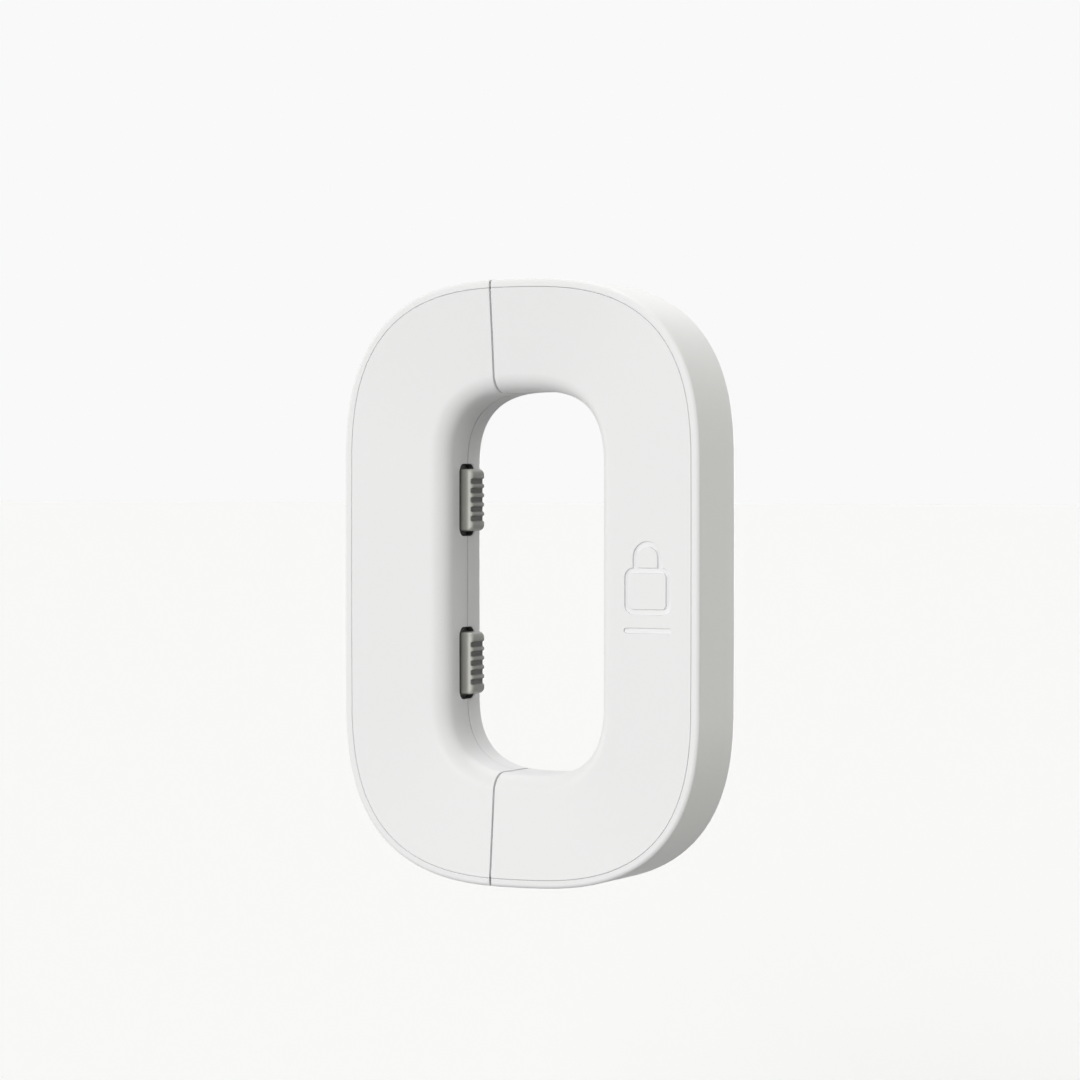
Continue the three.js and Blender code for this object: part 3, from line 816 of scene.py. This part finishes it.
def cover_loops(shell, sink=0):
    """The section of a front cover, sunk below its face, as loops from its rim into the hole."""
    ring, hole = outlines(shell)
    edge = shell.edge
    inside = LIP_INSIDE * sink
    rim = shell.wall + shell.line + inside
    foot = PARTING - shell.seam - inside
    band = (shell.ring_width - shell.hole_width) / 2 - rim

    def rolled(rightness):
        reach, depth, end = hole_roll(shell, rightness)
        slope = math.degrees(math.atan2(end - depth - FRONT, band - reach))
        return turn((reach, end), (reach - sink, depth - sink), 90 - slope, 0, FILLET_STEPS)

    def wall(rightness):
        end = hole_roll(shell, rightness)[2]
        return [
            (sink, end + HOLD * edge),
            (sink, foot - edge / 2),
            (sink + edge / 2, foot),
            (shell.wall - inside, foot),
            *cover_underside(shell, rightness, -inside),
        ]

    face = ring.loop(-rim - edge, FRONT + sink)
    roll = hole.loops(rolled)
    return [
        ring.loop(-rim, FRONT + shell.cover - inside),
        ring.loop(-rim, FRONT + sink + edge),
        face,
        *(between(face, roll[0], share) for share in FLAT_FACE),
        *roll,
        *hole.loops(wall),
    ]


def split_lip(shell):
    """The sunk lip of the right cover that closes the split behind the faces."""
    lip = loft("split_lip", cover_loops(shell, shell.lip_sink), closed=True)
    cut_at(lip, END["right"] - shell.lip, 1)
    cut_at(lip, END["right"] + shell.end_wall, -1)
    return lip


def face_depth(shell, x):
    """Y of the sloping front face at a place on the straight right side."""
    start = shell.ring_width / 2 - shell.wall - shell.line - shell.edge
    end = shell.hole_width / 2 + shell.right_fillet
    return FRONT + shell.right_fall * (start - x) / (start - end)


def sign_cutters(shell, sign):
    """Cutters for the sunk padlock and the plain bar under it, flared at the face and drafted below."""
    flare = shell.edge / 2
    steps = [(-sign.depth, flare), (0, flare), (flare, 0), (sign.depth, -sign.lean)]

    def laid(outline, depth):
        return [Vector((x, face_depth(shell, x) + depth, z)) for x, z in outline]

    def body(growth):
        width = sign.body_width + 2 * growth
        height = sign.body_height + 2 * growth
        centre = (sign.middle, sign.body_place)
        return rounded_rectangle(centre, width, height, sign.body_radius + growth)

    def shackle(growth):
        centre = (sign.middle, sign.shackle_place)
        outer = sign.shackle_radius + growth
        inner = sign.shackle_radius - sign.stroke - growth
        foot = sign.body_place + sign.body_height / 2 - sign.stroke / 2
        return [
            (sign.middle + outer, foot),
            *arc(centre, outer, 0, 180, 2 * FILLET_STEPS),
            (sign.middle - outer, foot),
            (sign.middle - inner, foot),
            *arc(centre, inner, 180, 0, 2 * FILLET_STEPS),
            (sign.middle + inner, foot),
        ]

    def bar(growth):
        thickness = sign.stroke + 2 * growth
        width = sign.bar_width + 2 * growth
        return rounded_rectangle((sign.middle, sign.bar_place), width, thickness, BAR_ROUND * thickness)

    body_loops = [laid(body(growth), depth) for depth, growth in steps]
    body_loops += [laid(body(-sign.stroke - growth), depth) for depth, growth in reversed(steps)]
    return [
        loft("sign_body", body_loops, closed=True),
        loft("sign_shackle", [laid(shackle(growth), depth) for depth, growth in steps]),
        loft("sign_bar", [laid(bar(growth), depth) for depth, growth in steps]),
    ]


def bosses(shell, half):
    """The bosses inside a cover that its screws drive into, and the holes for their threads."""
    made = []
    holes = []
    for place, head, tip, seat in cover_screws(half):
        thread = head / 2 + shell.screw_gap
        boss = thread + BOSS_WALL * shell.cup_wall
        foot = seat - shell.cup_floor
        made.append(round_post("boss", place, boss, FRONT + shell.cover, foot))
        holes.append(round_post("thread_hole", place, thread, tip - shell.screw_gap, foot + shell.cover))
    return made, holes


class LOCK_OT_front_covers(bpy.types.Operator):
    """Model the two front covers, the left one with its slots and the right one with its sign"""

    bl_idname = "lock.front_covers"
    bl_label = "Front Covers"

    def execute(self, context):
        shell = context.scene.lock_shell
        for half, facing in HALVES.items():
            cover = loft(f"{half}_cover_shell", cover_loops(shell), closed=True)
            cut_at(cover, END[half], facing)
            if half == "left":
                combine(cover, "DIFFERENCE", button_slots(shell))
            else:
                for cutter in sign_cutters(shell, context.scene.lock_sign):
                    combine(cover, "DIFFERENCE", [cutter])
            made, holes = bosses(shell, half)
            combine(cover, "UNION", made)
            combine(cover, "DIFFERENCE", holes)
            break_end_edges(cover, END[half], shell.edge)
            if half == "right":
                combine(cover, "UNION", [split_lip(shell)])
            finish_piece(cover, f"{half}_half", "white_plastic", f"{half}_front_cover")
        return {"FINISHED"}


# Buttons


def ribbed_outline(button, box, inset):
    """The outline of a button in X and Z, from its lower ear over the ribs to its upper ear.

    The round of the long sides takes the inset off the ribs, and leaves the floors of the grooves.
    """
    low, high = box
    tip = high.x
    shrink = inset * button.end_share
    middle = (low.z + high.z) / 2
    ear_front = low.x + button.ear
    half = button.height / 2
    floor = tip - button.groove_depth
    crest, foot, lean = button.rib_radius, button.groove_radius, button.rib_lean
    wall_fall = button.groove_depth - (crest + foot) * (1 - math.cos(lean))
    foot_place = (crest + foot) * math.sin(lean) + wall_fall / math.tan(lean)
    lean = math.degrees(lean)
    end_x = tip - button.end_radius
    end_z = half - button.end_radius
    points = [(low.x, low.z), (ear_front, low.z), (ear_front, middle - half + shrink)]
    points += arc((end_x, middle - end_z), button.end_radius - shrink, -90, 0, RIM_STEPS)
    for groove in range(GROOVES):
        below = middle + button.pitch * (groove - GROOVES / 2)
        above = below + button.pitch
        points += arc((tip - crest, below), crest, 0, lean, SMALL_STEPS)
        points += arc((floor + foot, below + foot_place), foot, 180 + lean, 180, SMALL_STEPS)
        points += arc((floor + foot, above - foot_place), foot, 180, 180 - lean, SMALL_STEPS)
        points += arc((tip - crest, above), crest, -lean, 0, SMALL_STEPS)
    points += arc((end_x, middle + end_z), button.end_radius - shrink, 0, 90, RIM_STEPS)
    points += [(ear_front, middle + half - shrink), (ear_front, high.z), (low.x, high.z)]
    return [(min(x, tip - inset), z) for x, z in points]


def rounding(radius, from_side):
    """How far a rounded edge has fallen at a distance from the side that it meets."""
    across = max(0, radius - from_side)
    return radius - math.sqrt(radius**2 - across**2)


def mark_grooves(piece, button, box):
    """Stores on each face how deep it lies in a groove, for the shade painted there and a rougher gloss.
    """
    low, high = box
    middle = (low.z + high.z) / 2
    marks = piece.data.attributes.new("groove", "FLOAT", "FACE")
    for face, mark in zip(piece.data.polygons, marks.data):
        front = rounding(button.front_radius, face.center.y - low.y)
        back = rounding(button.rear_radius, high.y - face.center.y)
        depth = (high.x - front - back - face.center.x) / button.groove_depth
        among = abs(face.center.z - middle) < GROOVES / 2 * button.pitch
        grooved = among and abs(face.normal.y) < GROOVE_FACING and 0 < depth < GROOVE_REACH
        mark.value = depth if grooved else 0


class LOCK_OT_buttons(bpy.types.Operator):
    """Model the two ribbed push buttons"""

    bl_idname = "lock.buttons"
    bl_label = "Ribbed Buttons"

    def execute(self, context):
        button = context.scene.lock_button
        for side, box in BUTTON_BOX.items():
            low, high = box
            radius = button.front_radius
            section = turn((radius, low.y + radius), (radius, radius), 90, 0, RIM_STEPS)
            radius = button.rear_radius
            section += turn((radius, high.y - radius), (radius, radius), 0, -90, RIM_STEPS)
            loops = [upright(ribbed_outline(button, box, inset), y) for inset, y in section]
            piece = loft(f"{side}_button_ribbed", loops)
            middle = (PARTING, (low.z + high.z) / 2)
            corner = SOCKET_ROUND * button.tongue_depth
            socket = rounded_rectangle(middle, button.tongue_depth, button.tongue_height, corner)
            reach = (low.x - button.ear, low.x + button.tongue_length)
            combine(piece, "DIFFERENCE", [loft("socket", [crosswise(socket, x) for x in reach])])
            mark_grooves(piece, button, box)
            finish_piece(piece, f"{side}_latch", "grey_plastic", f"{side}_button")
        return {"FINISHED"}


# Foam pads and the dark slot linings that paint shade


class LOCK_OT_foam_pads(bpy.types.Operator):
    """Model the two foam pads that stick the halves to the doors"""

    bl_idname = "lock.foam_pads"
    bl_label = "Foam Pads"

    def execute(self, context):
        shell = context.scene.lock_shell
        ring, hole = outlines(shell)
        edge = 2 * shell.edge
        margin = shell.pad_margin + edge
        section = [(margin, PAD_SEAT), (margin, PAD_BACK - edge), (margin + edge, PAD_BACK)]
        loops = [ring.loop(-inset, y) for inset, y in section]
        loops += [hole.loop(outset, y) for outset, y in reversed(section)]
        for half, facing in HALVES.items():
            pad = loft(f"{half}_pad_foam", loops, closed=True)
            end = END[half] + facing * margin
            cut_at(pad, end, facing)
            break_end_edges(pad, end, shell.edge)
            finish_piece(pad, f"{half}_half", "foam_pad", f"{half}_adhesive_pad")
        return {"FINISHED"}


class LOCK_OT_slot_shade_linings(bpy.types.Operator):
    """Model the dark linings of the two button slots, which paint the shade in the gaps round the
    buttons
    """

    bl_idname = "lock.dust_seals"
    bl_label = "Slot Shade Linings"

    def execute(self, context):
        shell = context.scene.lock_shell
        wall_x = -shell.hole_width / 2
        rear = wall_x - shell.wall
        front = wall_x - 2 * shell.edge
        for side, box in BUTTON_BOX.items():
            outline = slot_outline(shell, box)
            outer = outline(shell.edge / 2)
            inner = outline(-shell.shade_lining, shell.shade_lining_front)
            steps = [(rear, outer), (front, outer), (front, inner), (rear, inner)]
            loops = [crosswise(loop, x) for x, loop in steps]
            # A dark lining that paints the shade in the slot's gap round the button
            shade_lining = loft(f"{side}_slot_shade_lining", loops, closed=True)
            finish_piece(shade_lining, "left_half", "foam_pad")
        return {"FINISHED"}


# Latch works


def coil_loops(latch, box):
    """Loops round the wire of a spring that runs along X, with close turns at its ends."""
    low, high = box
    wire = latch.spring_wire
    radius = (high.z - low.z - wire) / 2
    middle = (low + high) / 2
    close_run = latch.closed_turns * wire * CLOSE_PITCH
    start = low.x + wire / 2
    end = high.x - wire / 2
    counts = (0, latch.closed_turns, latch.spring_turns - latch.closed_turns, latch.spring_turns)
    places = (start, start + close_run, end - close_run, end)
    loops = []
    for step in range(round(latch.spring_turns * COIL_STEPS) + 1):
        turns = step / COIL_STEPS
        facing = turns * 2 * math.pi
        outwards = Vector((0, math.cos(facing), math.sin(facing)))
        centre = Vector((numpy.interp(turns, counts, places), middle.y, middle.z)) + outwards * radius
        ring = circle((0, 0), wire / 2, WIRE_SIDES)
        loops.append([centre + outwards * across + Vector((along, 0, 0)) for across, along in ring])
    return loops


class LOCK_OT_latch_slides(bpy.types.Operator):
    """Round the edges of the two latch slides and of the retainers that hold them"""

    bl_idname = "lock.latch_slides"
    bl_label = "Latch Slides"

    def execute(self, context):
        latch = context.scene.lock_latch
        for side in SIDES:
            slide = eased_copy(f"{side}_latch_slide", f"{side}_slide_eased", latch.easing)
            finish_piece(slide, f"{side}_latch", "slide_plastic", f"{side}_latch_slide")
            retainer = eased_copy(f"{side}_slide_retainer", f"{side}_retainer_eased", latch.easing)
            finish_piece(retainer, "left_half", "slide_plastic", f"{side}_slide_retainer")
        return {"FINISHED"}


class LOCK_OT_return_springs(bpy.types.Operator):
    """Wind the two return springs"""

    bl_idname = "lock.return_springs"
    bl_label = "Return Springs"

    def execute(self, context):
        latch = context.scene.lock_latch
        for side in SIDES:
            node = f"{side}_return_spring"
            low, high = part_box(node)
            spring = loft(f"{side}_spring_coil", coil_loops(latch, (low, high)))
            finish_piece(spring, "left_half", "spring_steel", node)
            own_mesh(spring)
        return {"FINISHED"}


class LOCK_OT_screws(bpy.types.Operator):
    """Give the screws their zinc plate"""

    bl_idname = "lock.screws"
    bl_label = "Screws"

    def execute(self, context):
        for name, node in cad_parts.items():
            if "screw" in name:
                for slot in node.material_slots:
                    slot.material = finish("zinc_screw")
        return {"FINISHED"}


# Finishes


def plug(socket, value):
    """Links a wire to a socket, or sets the socket's own value."""
    if isinstance(value, Wire):
        socket.id_data.links.new(value.socket, socket)
    else:
        socket.default_value = value


class Wire:
    """An output socket. Sums, differences and products with wires and numbers add Math nodes."""

    def __init__(self, socket):
        self.socket = socket

    def math(self, operation, first, second):
        """The Math node of an operation on two values."""
        node = self.socket.id_data.nodes.new("ShaderNodeMath")
        node.operation = operation
        plug(node.inputs[0], first)
        plug(node.inputs[1], second)
        return Wire(node.outputs[0])

    def __add__(self, other):
        return self.math("ADD", self, other)

    def __radd__(self, other):
        return self.math("ADD", other, self)

    def __sub__(self, other):
        return self.math("SUBTRACT", self, other)

    def __rsub__(self, other):
        return self.math("SUBTRACT", other, self)

    def __mul__(self, other):
        return self.math("MULTIPLY", self, other)

    def __rmul__(self, other):
        return self.math("MULTIPLY", other, self)


class Tree:
    """A node tree that is built by calls."""

    def __init__(self, owner):
        owner.use_nodes = True
        self.nodes = owner.node_tree.nodes
        self.nodes.clear()

    def node(self, kind, settings=None, sockets=None, output=0):
        """Adds a node, with its settings first and then its sockets, and gives one of its outputs."""
        node = self.nodes.new(kind)
        for name, value in (settings or {}).items():
            if name == "stops":
                self.set_stops(node.color_ramp.elements, value)
            else:
                setattr(node, name, value)
        for name, value in (sockets or {}).items():
            plug(node.inputs[name], value)
        return Wire(node.outputs[output]) if node.outputs else node

    @staticmethod
    def set_stops(elements, stops):
        """Sets a ramp's stops, each a place and a grey level."""
        while len(elements) < len(stops):
            elements.new(1)
        for element, (place, grey) in zip(elements, stops):
            element.position = place
            element.color = (grey, grey, grey, 1)

    def noise(self, coordinates, scale, detail=2.0, roughness=0.5):
        """Noise from 0 to 1, with the scale in cycles to the metre."""
        sockets = {"Vector": coordinates, "Scale": scale, "Detail": detail, "Roughness": roughness}
        return self.node("ShaderNodeTexNoise", {}, sockets)

    def mixed(self, share, first, second):
        """A colour between two colours."""
        colours = [tone if isinstance(tone, Wire) else (*tone, 1) for tone in (first, second)]
        sockets = dict(zip(MIX_INPUTS, (share, *colours)))
        return self.node("ShaderNodeMix", {"data_type": "RGBA"}, sockets, output=MIX_OUTPUT)

    def clouded(self, share, tone, dark, light):
        """A colour that goes from a darker to a lighter shade of itself."""
        return self.mixed(share, shade(tone, dark), shade(tone, light))

    def bump(self, height, strength, distance):
        """A normal bent by a height."""
        sockets = {"Height": height, "Strength": strength, "Distance": distance}
        return self.node("ShaderNodeBump", {}, sockets, "Normal")

    def surface(self, kind, sockets):
        """The shader of a material."""
        shader = self.node(kind, {}, sockets, "BSDF")
        self.node("ShaderNodeOutputMaterial", {}, {"Surface": shader})


def shade(tone, factor):
    """A colour made lighter or darker."""
    return tuple(min(1, channel * factor) for channel in tone)


def shell_plastic(tree, place, colours):
    """Satin white moulding with a fine spark-eroded grain and faint flow marks."""
    grain = tree.noise(place, scale=5200, detail=3, roughness=0.6)
    flow = tree.noise(place, scale=42)
    speck = tree.noise(place, scale=900)
    return {
        "Base Color": tree.clouded(flow * 0.6 + speck * 0.4, colours.shell, dark=0.985, light=1.015),
        "Roughness": 0.44 + grain * 0.1 + flow * 0.05,
        "Specular IOR Level": 0.4,
        "Normal": tree.bump(grain, strength=0.12, distance=0.02 * MM),
    }


def button_plastic(tree, place, colours):
    """Warm grey moulding, with a painted highlight along its front edge and painted shade deep in the
    grooves.
    """
    # Painted highlight: the colour is lightened along the rounded front edge, where a glint of light
    # would fall
    low, high = BUTTON_BOX["upper"]
    radius = bpy.context.scene.lock_button.front_radius
    highlight_line = (high.x - 0.4 * radius, low.y + 0.2 * radius, 0)
    highlight_reach = 1.3 * radius
    flat = tree.node("ShaderNodeVectorMath", {"operation": "MULTIPLY"}, {0: place, 1: (1, 1, 0)})
    apart = {"operation": "DISTANCE"}
    from_line = tree.node("ShaderNodeVectorMath", apart, {0: flat, 1: highlight_line}, "Value")
    fade = {"Value": from_line, "From Min": 0, "From Max": highlight_reach, "To Min": 1, "To Max": 0}
    painted_highlight = tree.node("ShaderNodeMapRange", {"interpolation_type": "SMOOTHSTEP"}, fade)
    grain = tree.noise(place, scale=6000, detail=3, roughness=0.6)
    cloud = tree.noise(place, scale=220)
    groove = tree.node("ShaderNodeAttribute", {"attribute_name": "groove"}, output="Fac")
    plain_tone = tree.clouded(cloud, colours.button, dark=0.95, light=1.05)
    # The plain tone with the painted highlight mixed in along the front edge
    highlighted_tone = tree.mixed(painted_highlight * (0.75 + cloud * 0.4), plain_tone, shade(colours.button, 2.3))
    # Painted shade: the grooves are darkened towards their floors, where shade falls
    groove_shade = groove * (0.75 + cloud * 0.3)
    return {
        "Base Color": tree.mixed(groove_shade, highlighted_tone, shade(colours.button, 0.15)),
        "Roughness": 0.3 + grain * 0.1 + groove * 0.2,
        "Specular IOR Level": 0.35,
        "Normal": tree.bump(grain, strength=0.2, distance=0.02 * MM),
    }


def slide_plastic(tree, place, colours):
    """Natural bearing plastic, waxy and faintly mottled."""
    mottle = tree.noise(place, scale=160, detail=3)
    grain = tree.noise(place, scale=3800)
    return {
        "Base Color": tree.clouded(mottle, colours.slide, dark=0.95, light=1.05),
        "Roughness": 0.3 + grain * 0.12,
        "Normal": tree.bump(grain, strength=0.15, distance=0.02 * MM),
    }


def metal(tree, place, tone, mark_scale, roughness):
    """Plated or drawn metal with fine marks."""
    marks = tree.noise(place, scale=mark_scale, detail=4, roughness=0.65)
    tarnish = tree.noise(place, scale=380, detail=3)
    return {
        "Base Color": tree.clouded(tarnish, tone, dark=0.88, light=1.1),
        "Metallic": 1.0,
        "Roughness": roughness + marks * 0.18,
        "Normal": tree.bump(marks, strength=0.2, distance=0.01 * MM),
    }


def spring_wire(tree, place, colours):
    """Drawn steel wire."""
    return metal(tree, place, colours.steel, mark_scale=2400, roughness=0.2)


def zinc_plate(tree, place, colours):
    """Steel with a zinc plate."""
    return metal(tree, place, colours.zinc, mark_scale=1500, roughness=0.28)


def pad_foam(tree, place, colours):
    """Closed-cell foam with pores."""
    cells = tree.node("ShaderNodeTexVoronoi", {}, {"Vector": place, "Scale": 2600.0}, "Distance")
    cloud = tree.noise(place, scale=300, detail=3)
    pores = tree.node("ShaderNodeValToRGB", {"stops": ((0.12, 0), (0.45, 1))}, {"Fac": cells})
    return {
        "Base Color": tree.clouded(pores * 0.7 + cloud * 0.3, colours.foam, dark=0.6, light=1.3),
        "Roughness": 0.96 - pores * 0.12,
        "Specular IOR Level": 0.25,
        "Normal": tree.bump(cells, strength=0.5, distance=0.12 * MM),
    }


# The material of each slot, and what gives its shader's sockets
FINISHES = {
    "white_plastic": ("satin_white_moulding", shell_plastic),
    "grey_plastic": ("warm_grey_moulding", button_plastic),
    "slide_plastic": ("natural_bearing_plastic", slide_plastic),
    "spring_steel": ("drawn_spring_wire", spring_wire),
    "zinc_screw": ("zinc_plate", zinc_plate),
    "foam_pad": ("closed_cell_foam", pad_foam),
}


def finish(slot):
    """The material of a slot, made when it is first asked for."""
    name, sockets = FINISHES[slot]
    material = bpy.data.materials.get(name)
    if material is None:
        material = bpy.data.materials.new(name)
        tree = Tree(material)
        place = tree.node("ShaderNodeTexCoord", output="Object")
        tree.surface("ShaderNodeBsdfPrincipled", sockets(tree, place, bpy.context.scene.lock_colours))
    return material


# Studio


def lamp(name, brightness, place, spread, tint):
    """A soft lamp far away in a direction."""
    data = bpy.data.lights.new(name, "SUN")
    data.color = tint
    data.energy = math.pi * brightness
    data.angle = spread
    light = bpy.data.objects.new(name, data)
    light.rotation_mode = "QUATERNION"
    light.rotation_quaternion = Vector(place).to_track_quat("Z", "Y")
    bpy.context.collection.objects.link(light)


def seen_directly(tree):
    """1 on rays that show the backdrop to the camera, straight, mirrored or through glass."""
    rays = [
        tree.node("ShaderNodeLightPath", output=name)
        for name in ("Is Camera Ray", "Is Glossy Ray", "Is Transmission Ray")
    ]
    return rays[0].math("MAXIMUM", rays[0].math("MAXIMUM", rays[0], rays[1]), rays[2])


class LOCK_OT_studio(bpy.types.Operator):
    """Set the floor, the soft light and the camera"""

    bl_idname = "lock.studio"
    bl_label = "Studio"

    def execute(self, context):
        studio = context.scene.lock_studio
        self.set_world(context.scene, studio)
        self.lay_floor(studio)
        spreads = {"rear": studio.rear_spread}
        tints = {"left": studio.side_tint, "right": studio.side_tint}
        for name, place in LAMP_PLACES.items():
            spread = spreads.get(name, studio.spread)
            lamp(f"{name}_lamp", getattr(studio, name), place, spread, tints.get(name, WHITE))
        self.set_camera(context.scene, studio)
        context.scene.view_settings.view_transform = "Standard"
        return {"FINISHED"}

    def set_world(self, scene, studio):
        """Soft light all round, behind an even pale backdrop."""
        world = bpy.data.worlds.new("studio_world")
        scene.world = world
        tree = Tree(world)
        sky, backdrop = (
            tree.node("ShaderNodeBackground", {}, {"Strength": strength, "Color": (*WHITE, 1)})
            for strength in (studio.sky, studio.backdrop)
        )
        both = tree.node("ShaderNodeMixShader", {}, {0: seen_directly(tree), 1: sky, 2: backdrop})
        tree.node("ShaderNodeOutputWorld", {}, {"Surface": both})

    def lay_floor(self, studio):
        """A wide pale floor well below the lock, which hangs on its doors."""
        bpy.ops.object.select_all(action="DESELECT")
        height = CAD_BOX[0].z - studio.floor_drop
        bpy.ops.mesh.primitive_plane_add(size=FLOOR_SIZE, location=(0, 0, 0))
        floor = bpy.context.object
        floor.name = "studio_floor"
        for vertex in floor.data.vertices:
            vertex.co.z = height
        material = bpy.data.materials.new("pale_floor")
        tree = Tree(material)
        unseen, seen = shade(WHITE, studio.floor_tone), shade(WHITE, studio.floor_seen)
        tone = tree.mixed(seen_directly(tree), unseen, seen)
        tree.surface("ShaderNodeBsdfDiffuse", {"Color": tone})
        floor.data.materials.append(material)
        floor.visible_shadow = False

    def set_camera(self, scene, studio):
        """The camera at the photograph's angle, with its frame."""
        data = bpy.data.cameras.new("studio_camera")
        data.lens = studio.lens
        data.sensor_width = SENSOR_WIDTH
        data.shift_x = studio.shift_x
        data.shift_y = studio.shift_y
        data.clip_start = CLIP_START
        camera = bpy.data.objects.new("studio_camera", data)
        aim = Vector((0, (FRONT + BACK) / 2, 0))
        flat = math.cos(studio.elevation)
        across = math.sin(studio.azimuth) * flat
        forward = -math.cos(studio.azimuth) * flat
        back = Vector((across, forward, math.sin(studio.elevation)))
        camera.location = aim + back * studio.distance
        camera.rotation_mode = "QUATERNION"
        camera.rotation_quaternion = (-back).to_track_quat("-Z", "Y")
        bpy.context.collection.objects.link(camera)
        scene.camera = camera


# Add-on

STEPS = (
    LOCK_OT_rear_housings,
    LOCK_OT_front_covers,
    LOCK_OT_buttons,
    LOCK_OT_foam_pads,
    LOCK_OT_slot_shade_linings,
    LOCK_OT_latch_slides,
    LOCK_OT_return_springs,
    LOCK_OT_screws,
    LOCK_OT_studio,
)

GROUPS = {
    "lock_shell": ShellSizes,
    "lock_button": ButtonSizes,
    "lock_sign": SignSizes,
    "lock_latch": LatchSizes,
    "lock_colours": FinishColours,
    "lock_studio": StudioSettings,
}


class LOCK_PT_sidebar(bpy.types.Panel):
    """The steps of the lock and the sizes and colours they use"""

    bl_idname = "LOCK_PT_sidebar"
    bl_label = "Refrigerator Lock"
    bl_space_type = "VIEW_3D"
    bl_region_type = "UI"
    bl_category = "Lock"

    def draw(self, context):
        for step in STEPS:
            self.layout.operator(step.bl_idname)
        for name, group in GROUPS.items():
            box = self.layout.box()
            box.label(text=group.__doc__)
            for size in group.__annotations__:
                box.prop(getattr(context.scene, name), size)


CLASSES = (*GROUPS.values(), *STEPS, LOCK_PT_sidebar)


def register():
    for kind in CLASSES:
        bpy.utils.register_class(kind)
    for name, group in GROUPS.items():
        setattr(bpy.types.Scene, name, PointerProperty(type=group))


def unregister():
    for name in GROUPS:
        delattr(bpy.types.Scene, name)
    for kind in reversed(CLASSES):
        bpy.utils.unregister_class(kind)


def main():
    register()
    for step in STEPS:
        getattr(bpy.ops.lock, step.bl_idname.split(".")[1])()


if __name__ == "__main__":
    main()
